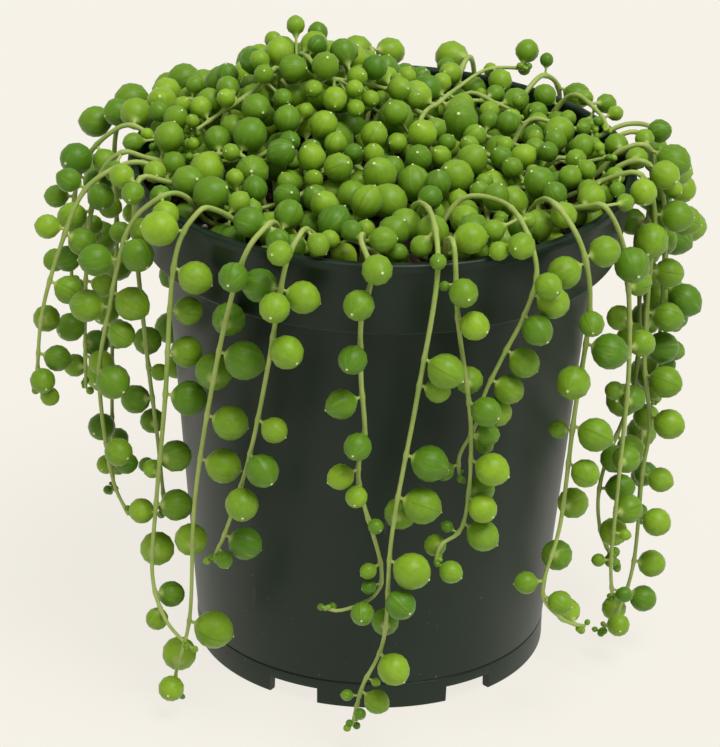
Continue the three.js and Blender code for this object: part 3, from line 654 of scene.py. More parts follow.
# What is tried for each: sizes, shifts as (distance, angle), lifts and the longest stalk. The mound's
# level is that of its highest leaves' tops above its surface, in front and far back, and the leaves'
# middles are this far below it.
MOUND_SHARES = (1, 0.92, 0.84, 0.76)
MOUND_SHIFTS = [(0, 0)] + [(away, 45 * k + turn) for away, turn in ((0.9, 0), (1.8, 22.5), (2.7, 0))
                           for k in range(8)]
MOUND_LIFTS = (0, -0.9, 0.9, -1.8, 1.8)
MOUND_STALK = 8
MOUND_LEVEL = (3.6, 1.6)
MOUND_MIDDLE = 3.5

# The fill: how far below the mound's level each layer's leaves start, the step between the places
# tried, how far out they go, and a leaf's usual radius and how much it varies.
FILL_LAYERS = (1, 4, 7.5, 11)
FILL_PITCH = 2.3
FILL_REACH = 54
FILL_SIZE = (3.5, 0.6)
FILL_SHARES = (1, 0.9, 0.8)
LONGEST_STALK = 4.6
SHORTEST_STALK = 0.9
STALK_BALL = 0.3


def foliage_points():
    """All points of the stems that lie in the foliage, with the stem that each belongs to."""
    points, owners = [], []
    for s, stem in enumerate(stems):
        route = stem["route"][4:-1]
        inside = np.hypot(route[:, 0], route[:, 1]) < RIM_RADIUS + 2
        if stem["hangs"]:
            inside &= route[:, 2] > POT_HEIGHT
        points.append(route[inside])
        owners.append(np.full(inside.sum(), s))
    return np.concatenate(points), np.concatenate(owners)


stalk_roots, root_stems = foliage_points()


def grow_on_nearest(centre, radius, longest, any_height=False):
    """A leaf of that size there, on a straight stalk from the nearest point of a stem."""
    apart = np.linalg.norm(stalk_roots - centre, axis=1)
    nearest = apart.argmin()
    reach = apart[nearest]
    stalk = reach - radius
    if stalk > longest or stalk < SHORTEST_STALK:
        return False
    root = stalk_roots[nearest]
    out = (centre - root) / reach
    neck = (centre - out * (radius + 0.5 * stalk), STALK_BALL, True)
    return place_leaf(root_stems[nearest], new_leaf(root, out, reach, radius, centre, neck), any_height)


def grow_mound_leaf(x, y, radius, rise=0.0):
    """A listed leaf on the mound, a little smaller or shifted a little where it has no room."""
    middle = np.array([x, y, above_mound(x, y, *MOUND_LEVEL) - MOUND_MIDDLE + rise])
    for share in MOUND_SHARES:
        for away, angle in MOUND_SHIFTS:
            for lift in MOUND_LIFTS:
                centre = middle + polar(angle, away, lift)
                if grow_on_nearest(centre, radius * share, MOUND_STALK + rise, any_height=True):
                    return


def fill_foliage():
    """Places are tried in a drawn order, layer by layer from the top surface down, with the largest
    leaf that fits at each."""
    count = int(2 * FILL_REACH / FILL_PITCH) + 1
    i, j = np.meshgrid(np.arange(count), np.arange(count))
    i, j = i.ravel(), j.ravel()
    for layer, depth in enumerate(FILL_LAYERS):
        x = -FILL_REACH + FILL_PITCH * (i + 0.5 * (j % 2) + 0.5 * spread(i, j, 20 + layer))
        y = -FILL_REACH + FILL_PITCH * (j + 0.5 * spread(i, j, 30 + layer))
        order = np.argsort(draw(i, j, 40 + layer))
        for place in order:
            if math.hypot(x[place], y[place]) > FILL_REACH:
                continue
            own = FILL_SIZE[0] + FILL_SIZE[1] * spread(i[place], j[place], 50 + layer)
            below = depth + draw(i[place], j[place], 60)
            top = above_mound(x[place], y[place], *MOUND_LEVEL)
            for share in FILL_SHARES:
                centre = np.array([x[place], y[place], top - own * share - below])
                if grow_on_nearest(centre, own * share, LONGEST_STALK):
                    break


for place in MOUND_LEAVES:
    grow_mound_leaf(*place)
grow_nodes(first_two=False)
fill_foliage()


# ---------- making meshes ----------

class Shape:
    """Gathers the surfaces of one piece: corners, faces, a UV for each face corner, and two values for
    each corner: tone, which is one value a leaf or crumb, and above, from -1 low on it to 1 on top."""

    def __init__(self):
        self.corners, self.tones, self.aboves = [], [], []
        self.faces, self.uvs, self.finishes = [], [], []
        self.count = 0

    def add(self, corners, *surfaces, finish=0, tone=0.5, above=0.0):
        """Adds corners and the surfaces on them, each given as its faces and their UVs."""
        n = len(corners)
        self.corners.append(corners)
        self.tones.append(np.broadcast_to(np.asarray(tone, float), n))
        self.aboves.append(np.broadcast_to(np.asarray(above, float), n))
        for faces, uvs in surfaces:
            self.faces.append(faces + self.count)
            self.uvs.append(uvs)
            self.finishes.append(np.full(len(faces), finish))
        self.count += n

    def piece(self, name, materials, slot, *nodes):
        corners = np.concatenate(self.corners) * MM
        faces = [face for faces in self.faces for face in faces.tolist()]
        mesh = bpy.data.meshes.new(name)
        mesh.from_pydata(corners.tolist(), [], faces)
        mesh.polygons.foreach_set("material_index", np.concatenate(self.finishes).astype(np.int32))
        mesh.polygons.foreach_set("use_smooth", np.ones(len(faces), bool))
        uv = mesh.uv_layers.new(name="UVMap")
        uv.data.foreach_set("uv", np.concatenate([u.reshape(-1) for u in self.uvs]).astype(np.float32))
        for key, values in (("tone", self.tones), ("above", self.aboves)):
            attribute = mesh.attributes.new(key, "FLOAT", "POINT")
            attribute.data.foreach_set("value", np.concatenate(values).astype(np.float32))
        for material in materials:
            mesh.materials.append(material)
        mesh.update()
        obj = bpy.data.objects.new(name, mesh)
        bpy.context.scene.collection.objects.link(obj)
        if nodes:
            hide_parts(*nodes)
        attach(obj, "root")
        return obj


def grid_faces(rows, columns):
    """Faces and UVs of a grid of corners whose last column joins the first. U runs across the columns
    and V along the rows."""
    i, j = np.meshgrid(np.arange(rows - 1), np.arange(columns), indexing="ij")
    i, j = i.ravel(), j.ravel()
    next_j = (j + 1) % columns
    faces = np.stack([i * columns + j, i * columns + next_j, (i + 1) * columns + next_j,
                      (i + 1) * columns + j], axis=1)
    u = np.stack([j, j + 1, j + 1, j], axis=1) / columns
    v = np.stack([i, i, i + 1, i + 1], axis=1) / (rows - 1)
    return faces, np.stack([u, v], axis=2)


def pole_faces(ring, pole, v_ring, v_pole, turned):
    """Triangles from a ring of corners to one point."""
    n = len(ring)
    after = np.roll(ring, -1)
    poles = np.full(n, pole)
    u = np.arange(n) / n
    uv_ring = np.stack([u, np.full(n, v_ring)], axis=1)
    uv_after = np.stack([u + 1 / n, np.full(n, v_ring)], axis=1)
    uv_pole = np.stack([u + 0.5 / n, np.full(n, v_pole)], axis=1)
    if turned:
        return np.stack([after, ring, poles], axis=1), np.stack([uv_after, uv_ring, uv_pole], axis=1)
    return np.stack([ring, after, poles], axis=1), np.stack([uv_ring, uv_after, uv_pole], axis=1)


def tube(shape, path, radius, sides, finish):
    """A tube along a path: at each point of it a ring of that radius, square to the path, whose first
    corner is turned as little as possible from ring to ring. Its ends close in a point."""
    along = unit(np.gradient(path, axis=0))
    first = np.zeros_like(path)
    u = np.array([1, 0.2, 0.0])
    for i, a in enumerate(along):
        u = unit(u - a * (u @ a))
        first[i] = u
    second = np.cross(along, first)
    turn = 2 * np.pi * np.arange(sides) / sides
    ring = first[:, None] * np.cos(turn)[None, :, None] + second[:, None] * np.sin(turn)[None, :, None]
    corners = path[:, None] + ring * radius[:, None, None]
    rows = len(path)
    ends = np.stack([path[0] - along[0] * 0.3 * radius[0], path[-1] + along[-1] * 0.6 * radius[-1]])
    corners = np.concatenate([corners.reshape(-1, 3), ends])
    start = pole_faces(np.arange(sides), rows * sides, 0, 0, True)
    end = pole_faces((rows - 1) * sides + np.arange(sides), rows * sides + 1, 1, 1, False)
    shape.add(corners, grid_faces(rows, sides), start, end, finish=finish)


# ---------- the leafy stems ----------

STEM_SIDES = 8
STEM_GREEN, LEAF_GREEN = 0, 1
HANGING_LEAF = (12, np.radians([-66, -42, -18, 6, 30, 54, 75]))
FOLIAGE_LEAF = (10, np.radians([-64, -36, -8, 20, 48, 73]))
STALK_STATIONS = np.array([0, 0.8])
STALK_WIDTHS = np.array([0.4, 0.34])
STALK_END = 0.99
POINT_START = 1.03
POINT_END = 1.09
POINT_WIDTH = 0.07
STALK_UV = 0.1
BALL_UV = 0.85
POINT_UV = 0.975
STEM_WIDE = 0.6
STEM_NARROW = 0.38
NODE_SWELL = 0.16
NODE_REACH = 0.9
BUDS = 4


def leaf_surfaces(shape, leaves, seed, make):
    """Leaves as surfaces of revolution round their own axes, made with that many sides and ball
    stations. Along the axis come a thin stalk, a ball (distance from its middle: radius times sine,
    width: radius times cosine of the station), drawn out a little towards its end, and a short point.
    All leaves of a stem are worked out at once: the array's sides are leaf, station, corner."""
    if not leaves:
        return
    sides, stations = make
    n = len(leaves)
    root = np.array([leaf["root"] for leaf in leaves])
    out = np.array([leaf["out"] for leaf in leaves])
    reach = np.array([leaf["reach"] for leaf in leaves])
    radius = np.array([leaf["radius"] for leaf in leaves])
    number = np.arange(n)
    tone = draw(seed, number + 0.5 * sides, 70)
    drawn_out = 0.02 + 0.1 * draw(seed, number + 0.5 * sides, 71) ** 2
    stalk_end = reach - STALK_END * radius
    small = np.minimum(1, 0.35 + radius / 4)
    longer = 1 + drawn_out[:, None] * np.clip(np.sin(stations), 0, 1) ** 4
    along = np.concatenate([
        STALK_STATIONS * stalk_end[:, None],
        reach[:, None] + np.sin(stations) * longer * radius[:, None],
        reach[:, None] + (POINT_START + drawn_out[:, None]) * radius[:, None],
    ], axis=1)
    width = np.concatenate([
        STALK_WIDTHS * small[:, None],
        np.cos(stations) * radius[:, None],
        POINT_WIDTH * radius[:, None],
    ], axis=1)
    rows = along.shape[1]
    u = unit(np.cross(np.array([0.3, 0.5, 0.81]), out))
    v = np.cross(out, u)
    turn = 2 * np.pi * (np.arange(sides) / sides)
    ring = (u[:, None, None] * np.cos(turn)[None, None, :, None]
            + v[:, None, None] * np.sin(turn)[None, None, :, None])
    centre = root[:, None] + out[:, None] * along[:, :, None]
    corners = centre[:, :, None] + ring * width[:, :, None, None]
    tip = root + out * (reach + (POINT_END + drawn_out) * radius)[:, None]
    middle = root + out * reach[:, None]
    above = (corners[..., 2] - middle[:, None, None, 2]) / radius[:, None, None]
    per_leaf = rows * sides
    base_faces, base_uv = grid_faces(rows, sides)
    shift = (number * per_leaf)[:, None, None]
    faces = (base_faces[None] + shift).reshape(-1, 4)
    station = np.concatenate([STALK_STATIONS * STALK_UV,
                              STALK_UV + BALL_UV * (stations / np.pi + 0.5), [POINT_UV]])
    level = np.round(base_uv[..., 1] * (rows - 1)).astype(int)
    uv = np.stack([base_uv[..., 0], station[level]], axis=2)
    uvs = np.broadcast_to(uv, (n,) + uv.shape).reshape(-1, 4, 2)
    all_corners = np.concatenate([corners.reshape(-1, 3), tip])
    all_tones = np.concatenate([np.repeat(tone, per_leaf), tone])
    all_above = np.concatenate([above.reshape(-1), np.zeros(n)])
    cap, cap_uv = pole_faces((rows - 1) * sides + np.arange(sides), 0, POINT_UV, 1, False)
    caps = np.broadcast_to(cap, (n,) + cap.shape) + shift
    caps[:, :, 2] = (n * per_leaf + number)[:, None]
    cap_uvs = np.broadcast_to(cap_uv, (n,) + cap_uv.shape).reshape(-1, 3, 2)
    shape.add(all_corners, (faces, uvs), (caps.reshape(-1, 3), cap_uvs),
              finish=LEAF_GREEN, tone=all_tones, above=np.clip(all_above, -1, 1))


def stem_radius(stem):
    """The stem tapers to its tip and swells a little where a leaf grows."""
    route = stem["route"]
    share = np.arange(len(route)) / (len(route) - 1)
    radius = mix(STEM_WIDE, STEM_NARROW, share**1.4)
    if stem["leaves"]:
        roots = np.array([leaf["root"] for leaf in stem["leaves"]])
        apart = np.linalg.norm(route[:, None] - roots[None], axis=2).min(axis=1)
        radius = radius + NODE_SWELL * np.exp(-((apart / NODE_REACH) ** 2))
    return radius


def tip_buds(s):
    """A few tiny leaves crowd round the end of a stem."""
    stem = stems[s]
    end = stem["route"][-1]
    along, face, side = directions(stem, len(stem["route"]) - 1)
    buds = []
    for k in range(BUDS):
        angle = 2.4 * k + 6 * draw(s, k, 80)
        lean = 0.5 + 0.5 * draw(s, k, 81)
        out = unit(along * lean + (face * math.cos(angle) + side * math.sin(angle)))
        radius = 0.45 + 0.5 * draw(s, k, 82)
        root = end - along * 0.7 * k
        buds.append({"root": root, "out": out, "reach": radius + 0.35, "radius": radius})
    return buds


def leafy_stem(s, finishes):
    stem = stems[s]
    shape = Shape()
    tube(shape, stem["route"], stem_radius(stem), STEM_SIDES, STEM_GREEN)
    hanging = [leaf for leaf in stem["leaves"] if leaf["centre"][2] < POT_HEIGHT]
    others = [leaf for leaf in stem["leaves"] if leaf["centre"][2] >= POT_HEIGHT]
    leaf_surfaces(shape, hanging, s, HANGING_LEAF)
    leaf_surfaces(shape, others + tip_buds(s), s, FOLIAGE_LEAF)
    return shape.piece(f"leafy_{stem['name']}", finishes, "leafy_stem", stem["name"])


# ---------- the pot ----------

POT_COLUMNS = 216
FILLET_BITS = 4


def filleted(profile, fillet):
    """The profile with each corner replaced by a curve (quadratic Bezier) that starts and ends that far
    from the corner, or less on a short side."""
    profile = np.array(profile, float)
    bits = [profile[:1]]
    t = np.linspace(0, 1, FILLET_BITS + 1)[:, None]
    for i in range(1, len(profile) - 1):
        before, corner, after = profile[i - 1], profile[i], profile[i + 1]
        room_before, room_after = np.linalg.norm(before - corner), np.linalg.norm(after - corner)
        cut = min(fillet[i], 0.45 * room_before, 0.45 * room_after)
        start = corner + (before - corner) * cut / room_before
        end = corner + (after - corner) * cut / room_after
        bits.append(start * (1 - t) ** 2 + corner * 2 * t * (1 - t) + end * t**2)
    bits.append(profile[-1:])
    return np.concatenate(bits)


def pot_columns():
    """Angles of the pot's columns of corners, with a close pair at each side of a notch."""
    half = math.degrees(NOTCH_WIDTH / 2 / BODY_FOOT)
    edges = [angle + side * (half + step)
             for angle in NOTCH_ANGLES for side in (-1, 1) for step in (0, 0.12)]
    even = np.arange(POT_COLUMNS) * 360 / POT_COLUMNS
    angles = np.sort(np.concatenate([even, np.mod(edges, 360)]))
    keep = np.concatenate([[True], np.diff(angles) > 0.05])
    return angles[keep]


def notch_rise(angles):
    """How far the pot's lower edge is lifted at each angle: the notch's height inside a notch."""
    half = math.degrees(NOTCH_WIDTH / 2 / BODY_FOOT) + 0.06
    rise = np.zeros(len(angles))
    for notch in NOTCH_ANGLES:
        away = np.abs((angles - notch + 180) % 360 - 180) / half
        rise = np.maximum(rise, np.where(away < 1, NOTCH_HEIGHT, 0))
    return rise


def pot_surface(shape):
    """The pot's wall: a profile carried round the axis. Its lowest part is squeezed upward in the
    notches: a height z below the top of the foot grows by the notch's rise times (1 - z / that top)."""
    seam = FOOT_BAND
    profile = [
        (BODY_FOOT - FOOT_RING - 0.4, FLOOR_UNDER + 0.6, 0),
        (BODY_FOOT - FOOT_RING, FLOOR_UNDER, 0.2),
        (BODY_FOOT - FOOT_RING, 0, 0.4),
        (BODY_FOOT, 0, 0.5),
        (BODY_FOOT, seam - 0.35, 0.1),
        (BODY_FOOT - 0.3, seam - 0.1, 0.1),
        (BODY_FOOT + 0.05, seam + 0.2, 0.1),
        (BODY_TOP, LEDGE, 0.5),
        (COLLAR_FOOT, LEDGE, 0.9),
        (RIM_RADIUS - LIP_PROUD, LIP_FOOT, 0.3),
        (RIM_RADIUS, LIP_FOOT, 0.5),
        (RIM_RADIUS, POT_HEIGHT, 0.9),
        (LIP_INSIDE, POT_HEIGHT, 0.9),
        (LIP_INSIDE, LIP_FOOT, 0.5),
        (COLLAR_FOOT - WALL, LEDGE + WALL, 0.6),
        (BODY_TOP - WALL, LEDGE + WALL, 0.6),
        (BODY_FOOT - WALL, FLOOR_UNDER + FLOOR_THICK, 0.3),
        (BODY_FOOT - WALL - 1, FLOOR_UNDER + FLOOR_THICK, 0),
    ]
    line = filleted([p[:2] for p in profile], [p[2] for p in profile])
    angles = pot_columns()
    rise = notch_rise(angles)
    radius, height = line[:, 0][:, None], line[:, 1][:, None]
    outside = radius > BODY_FOOT - 0.5 * FOOT_RING
    top = np.where(outside, seam - 0.5, FLOOR_UNDER)
    z = height + rise[None] * np.clip(1 - height / top, 0, 1)
    turn = np.radians(angles)[None]
    corners = np.stack([radius * np.sin(turn), -radius * np.cos(turn), z], axis=2)
    shape.add(corners.reshape(-1, 3), grid_faces(len(line), len(angles)))


def floor_surface(shape):
    """The pot's floor: six equal sectors, each with a drain hole. A sector is a sheet stretched between
    its hole and its outline: hole times (1 - t) + outline times t. Top, bottom and the holes' walls."""
    edge = BODY_FOOT - WALL + 0.2
    bits = 12
    share = np.linspace(0, 1, bits, endpoint=False)
    for notch in NOTCH_ANGLES:
        sweep = np.radians(notch - 30 + 60 * share)
        start, end = math.radians(notch - 30), math.radians(notch + 30)
        ray_out = np.stack([np.sin(start) * share, -np.cos(start) * share], axis=1) * edge
        arc = np.stack([np.sin(sweep), -np.cos(sweep)], axis=1) * edge
        ray_in = np.stack([np.sin(end) * (1 - share), -np.cos(end) * (1 - share)], axis=1) * edge
        outline = np.concatenate([ray_out, arc, ray_in])
        hole = polar(notch, DRAIN_DISTANCE)[:2]
        rim = hole + unit(outline - hole) * DRAIN_RADIUS
        sheet = [mix(rim, outline, t) for t in (1, 0.66, 0.33, 0)]
        layers = [(flat, FLOOR_UNDER) for flat in sheet]
        layers += [(flat, FLOOR_UNDER + FLOOR_THICK) for flat in sheet[::-1]]
        corners = np.stack([np.column_stack([flat, np.full(len(flat), z)]) for flat, z in layers])
        shape.add(corners.reshape(-1, 3), grid_faces(len(layers), len(outline)))


# ---------- the soil ----------

SOIL_COLUMNS = 220
SOIL_ROWS = 70
SOIL_TONE = 0.3
CRUMBS = 2600


def waves(x, y, seed, length, count=14):
    """A smooth random height from -1 to 1: the mean of sine waves of about that length in drawn
    directions."""
    k = np.arange(count)
    turn = 2 * np.pi * draw(seed, k, 90)
    size = length * mix(0.6, 1.6, draw(seed, k, 91))
    phase = 2 * np.pi * draw(seed, k, 92)
    along = x[..., None] * np.cos(turn) + y[..., None] * np.sin(turn)
    return np.sin(2 * np.pi * along / size + phase).mean(axis=-1) * math.sqrt(count) / 2


def soil_edge():
    slope = (LIP_INSIDE - COLLAR_FOOT + WALL) / (LIP_FOOT - LEDGE - WALL)
    return COLLAR_FOOT - WALL - GAP + slope * (SOIL_AT_WALL - LEDGE - WALL - GAP)


def soil_height(x, y):
    rough = 0.55 * waves(x, y, 1, 9) + 0.35 * waves(x, y, 2, 3.5) + 0.22 * waves(x, y, 3, 1.6)
    return soil_top(x, y) + np.clip(rough, -1.1, 1.1)


def soil_surface(shape):
    """The soil: straight sides just inside the pot, and a rough top, which is the dome plus waves."""
    edge = soil_edge()
    bottom = FLOOR_UNDER + FLOOR_THICK + GAP
    shelf = LEDGE + WALL + GAP
    side = [(0.3, bottom), (BODY_FOOT - WALL - GAP, bottom), (BODY_TOP - WALL - GAP, shelf),
            (COLLAR_FOOT - WALL - GAP, shelf), (edge, SOIL_AT_WALL - 1.5)]
    turn = 2 * np.pi * np.arange(SOIL_COLUMNS) / SOIL_COLUMNS
    rings = edge * np.sqrt(np.linspace(1, 0.00003, SOIL_ROWS))
    radius = np.concatenate([[p[0] for p in side], rings])[:, None]
    x, y = radius * np.sin(turn), -radius * np.cos(turn)
    z = np.broadcast_to(np.array([p[1] for p in side])[:, None], (len(side), SOIL_COLUMNS))
    top = soil_height(x[len(side):], y[len(side):])
    corners = np.stack([x, y, np.concatenate([z, top])], axis=2)
    shape.add(corners.reshape(-1, 3), grid_faces(len(radius), SOIL_COLUMNS), tone=SOIL_TONE)


def crumb_surfaces(shape):
    """Crumbs of peat and bark on the soil: octahedra with each corner pushed in or out, stretched and
    turned by draws. All are worked out at once."""
    k = np.arange(CRUMBS)
    angle = 2 * np.pi * draw(5, k, 1)
    distance = (soil_edge() - 1.2) * np.sqrt(draw(5, k, 2))
    x, y = distance * np.sin(angle), -distance * np.cos(angle)
    middle = np.stack([x, y, soil_height(x, y) + 0.15], axis=1)
    base = np.array([[1, 0, 0], [0, 1, 0], [-1, 0, 0], [0, -1, 0], [0, 0, 1], [0, 0, -1]], float)
    push = mix(0.7, 1.3, draw(k[:, None], np.arange(6)[None], 3))
    size = mix(0.35, 1.1, draw(5, k, 4) ** 2.2)
    long, flat = mix(0.8, 2.0, draw(5, k, 5) ** 2), mix(0.4, 0.9, draw(5, k, 6))
    stretch = np.stack([long, np.ones(CRUMBS), flat], axis=1)
    local = base[None] * (push * size[:, None])[:, :, None] * stretch[:, None]
    spin = 2 * np.pi * draw(5, k, 7)
    tilt = 0.7 * spread(5, k, 8)
    x1 = local[..., 0] * np.cos(tilt)[:, None] - local[..., 2] * np.sin(tilt)[:, None]
    z1 = local[..., 0] * np.sin(tilt)[:, None] + local[..., 2] * np.cos(tilt)[:, None]
    x2 = x1 * np.cos(spin)[:, None] - local[..., 1] * np.sin(spin)[:, None]
    y2 = x1 * np.sin(spin)[:, None] + local[..., 1] * np.cos(spin)[:, None]
    corners = middle[:, None] + np.stack([x2, y2, z1], axis=2)
    faces = np.array([[0, 1, 4], [1, 2, 4], [2, 3, 4], [3, 0, 4],
                      [1, 0, 5], [2, 1, 5], [3, 2, 5], [0, 3, 5]])
    all_faces = (faces[None] + (6 * k)[:, None, None]).reshape(-1, 3)
    uvs = np.zeros((len(all_faces), 3, 2))
    shape.add(corners.reshape(-1, 3), (all_faces, uvs), tone=np.repeat(draw(5, k, 9), 6))


# ---------- materials ----------

def linear(red, green, blue):
    """A screen colour of 0 to 255 as the light that it stands for."""
    return tuple((c / 255 / 12.92 if c <= 10 else ((c / 255 + 0.055) / 1.055) ** 2.4)
                 for c in (red, green, blue)) + (1.0,)


LEAF_LIGHT = linear(150, 187, 42)
LEAF_DARK = linear(80, 127, 22)
# Painted shade: the darker green blended onto the lower side of each leaf.
LEAF_PAINTED_SHADE = linear(80, 116, 20)
LEAF_DEEP = linear(58, 98, 8)
LEAF_STREAK = linear(150, 182, 88)
LEAF_POINT = linear(232, 236, 190)
STEM_LIGHT = linear(172, 188, 104)
STEM_GREENER = linear(138, 165, 74)
STEM_SHADE = linear(112, 138, 58)
POT_DARK = linear(17, 36, 21)
POT_GREEN = linear(22, 41, 27)
POT_FOOT = linear(30, 44, 30)
POT_SCUFF = linear(104, 114, 98)
SOIL_BLACK = linear(22, 16, 13)
SOIL_DARK = linear(46, 34, 27)
SOIL_BROWN = linear(104, 70, 50)
SOIL_PALE = linear(190, 178, 160)
BACKDROP = linear(244, 240, 231)


class Nodes:
    """Short words for building a node tree."""

    def __init__(self, tree):
        self.tree = tree

    def add(self, kind, **values):
        node = self.tree.nodes.new(kind)
        for key, value in values.items():
            setattr(node, key, value)
        return node

    def join(self, source, target):
        self.tree.links.new(source, target)

    def put(self, socket, value):
        """Sets a socket to a plain value, or links it to another node's output."""
        if isinstance(value, bpy.types.NodeSocket):
            self.join(value, socket)
        else:
            socket.default_value = value

    def maths(self, operation, *values, clamp=False):
        node = self.add("ShaderNodeMath", operation=operation, use_clamp=clamp)
        for socket, value in zip(node.inputs, values):
            self.put(socket, value)
        return node.outputs[0]

    def plus(self, a, b):
        return self.maths("ADD", a, b)

    def times(self, a, b):
        return self.maths("MULTIPLY", a, b)

    def blend(self, factor, a, b):
        node = self.add("ShaderNodeMix", data_type="RGBA", blend_type="MIX", clamp_factor=True)
        self.put(node.inputs["Factor"], factor)
        self.put(node.inputs[6], a)
        self.put(node.inputs[7], b)
        return node.outputs[2]

    def noise(self, vector, scale, detail=3.0, rough=0.55, stretch=None):
        node = self.add("ShaderNodeTexNoise")
        if stretch is not None:
            mapping = self.add("ShaderNodeMapping")
            self.join(vector, mapping.inputs["Vector"])
            mapping.inputs["Scale"].default_value = stretch
            vector = mapping.outputs[0]
        self.join(vector, node.inputs["Vector"])
        node.inputs["Scale"].default_value = scale
        node.inputs["Detail"].default_value = detail
        node.inputs["Roughness"].default_value = rough
        return node.outputs["Fac"]

    def ramp(self, value, low, high):
        """0 at low, 1 at high, smooth between them."""
        node = self.add("ShaderNodeMapRange", interpolation_type="SMOOTHSTEP")
        self.put(node.inputs["Value"], value)
        node.inputs["From Min"].default_value = low
        node.inputs["From Max"].default_value = high
        return node.outputs["Result"]

    def fade(self, value, low, high):
        """1 at low, 0 at high, smooth between them."""
        return self.maths("SUBTRACT", 1.0, self.ramp(value, low, high))


def set_inputs(node, values):
    for socket, value in values.items():
        node.inputs[socket].default_value = value


def new_material(name):
    material = bpy.data.materials.new(name)
    material.use_nodes = True
    nodes = Nodes(material.node_tree)
    shader = material.node_tree.nodes["Principled BSDF"]
    return material, nodes, shader


def bump(nodes, shader, height, strength, distance):
    node = nodes.add("ShaderNodeBump")
    set_inputs(node, {"Strength": strength, "Distance": distance})
    nodes.join(height, node.inputs["Height"])
    nodes.join(node.outputs["Normal"], shader.inputs["Normal"])


def mottle_group():
    """The uneven colour of plant skin, soil or plastic: two sizes of noise, mixed into one mask."""
    tree = bpy.data.node_groups.new("mottle", "ShaderNodeTree")
    for name, way in (("Scale", "INPUT"), ("Contrast", "INPUT"), ("Mask", "OUTPUT")):
        tree.interface.new_socket(name, in_out=way, socket_type="NodeSocketFloat")
    nodes = Nodes(tree)
    given = nodes.add("NodeGroupInput")
    result = nodes.add("NodeGroupOutput")
    place = nodes.add("ShaderNodeTexCoord").outputs["Object"]
    layers = []
    for factor, share in ((1.0, 0.65), (4.3, 0.35)):
        texture = nodes.add("ShaderNodeTexNoise")
        nodes.join(place, texture.inputs["Vector"])
        nodes.join(nodes.times(given.outputs["Scale"], factor), texture.inputs["Scale"])
        texture.inputs["Detail"].default_value = 3
        layers.append(nodes.times(texture.outputs["Fac"], share))
    centred = nodes.times(nodes.maths("SUBTRACT", nodes.plus(*layers), 0.5), given.outputs["Contrast"])
    nodes.join(nodes.maths("ADD", centred, 0.5, clamp=True), result.inputs["Mask"])
    return tree


mottle = mottle_group()


def mottled(nodes, scale, contrast):
    group = nodes.add("ShaderNodeGroup", node_tree=mottle)
    set_inputs(group, {"Scale": scale, "Contrast": contrast})
    return group.outputs["Mask"]


def leaf_finish():
    """Waxy green skin, with painted shade that makes it deeper green below. It is finely streaked from
    stalk to tip, with one narrow dark window line on some, a yellowish neck and a pale dry point."""
    material, nodes, shader = new_material("leaf_skin")
    tone = nodes.add("ShaderNodeAttribute", attribute_name="tone").outputs["Fac"]
    above = nodes.add("ShaderNodeAttribute", attribute_name="above").outputs["Fac"]
    uv = nodes.add("ShaderNodeUVMap", uv_map="UVMap").outputs["UV"]
    parts = nodes.add("ShaderNodeSeparateXYZ")
    nodes.join(uv, parts.inputs[0])
    round_it, along_it = parts.outputs["X"], parts.outputs["Y"]

    colour = nodes.blend(tone, LEAF_DARK, LEAF_LIGHT)
    # Painted shade: the lower side of each leaf, where its above value is low, is blended towards a darker
    # green.
    low = nodes.fade(above, -0.9, 0.3)
    colour = nodes.blend(nodes.times(low, 0.4), colour, LEAF_PAINTED_SHADE)
    colour = nodes.blend(nodes.times(mottled(nodes, 260, 2.6), 0.4), colour, LEAF_DEEP)

    where = nodes.add("ShaderNodeCombineXYZ")
    nodes.join(round_it, where.inputs[0])
    nodes.join(along_it, where.inputs[1])
    nodes.join(nodes.times(tone, 17.0), where.inputs[2])
    streaks = nodes.noise(where.outputs[0], 1.0, 4.0, 0.6, (26, 2.6, 1))
    colour = nodes.blend(nodes.times(nodes.ramp(streaks, 0.5, 0.75), 0.35), colour, LEAF_STREAK)

    line_at = nodes.plus(0.2, nodes.times(tone, 0.6))
    off = nodes.maths("ABSOLUTE", nodes.maths("SUBTRACT", round_it, line_at))
    line = nodes.fade(off, 0.004, 0.016)
    middle = nodes.times(nodes.ramp(along_it, 0.24, 0.36), nodes.fade(along_it, 0.8, 0.92))
    some = nodes.ramp(nodes.maths("FRACT", nodes.times(tone, 7.3)), 0.45, 0.55)
    window = nodes.times(nodes.times(line, middle), some)
    colour = nodes.blend(nodes.times(window, 0.35), colour, LEAF_DEEP)

    neck = nodes.fade(along_it, 0.1, 0.24)
    colour = nodes.blend(nodes.times(neck, 0.85), colour, STEM_LIGHT)
    point = nodes.ramp(along_it, 0.955, 0.98)
    colour = nodes.blend(nodes.times(point, 0.9), colour, LEAF_POINT)
    nodes.join(colour, shader.inputs["Base Color"])
    rough = nodes.plus(0.34, nodes.times(mottled(nodes, 400, 1.5), 0.16))
    nodes.join(rough, shader.inputs["Roughness"])
    bump(nodes, shader, streaks, 0.12, 0.0003)
    set_inputs(shader, {"Specular IOR Level": 0.27, "Sheen Weight": 0.06, "Sheen Roughness": 0.35,
                        "Subsurface Weight": 0.12, "Subsurface Scale": 0.002,
                        "Subsurface Radius": (0.6, 1.0, 0.2)})
    return material


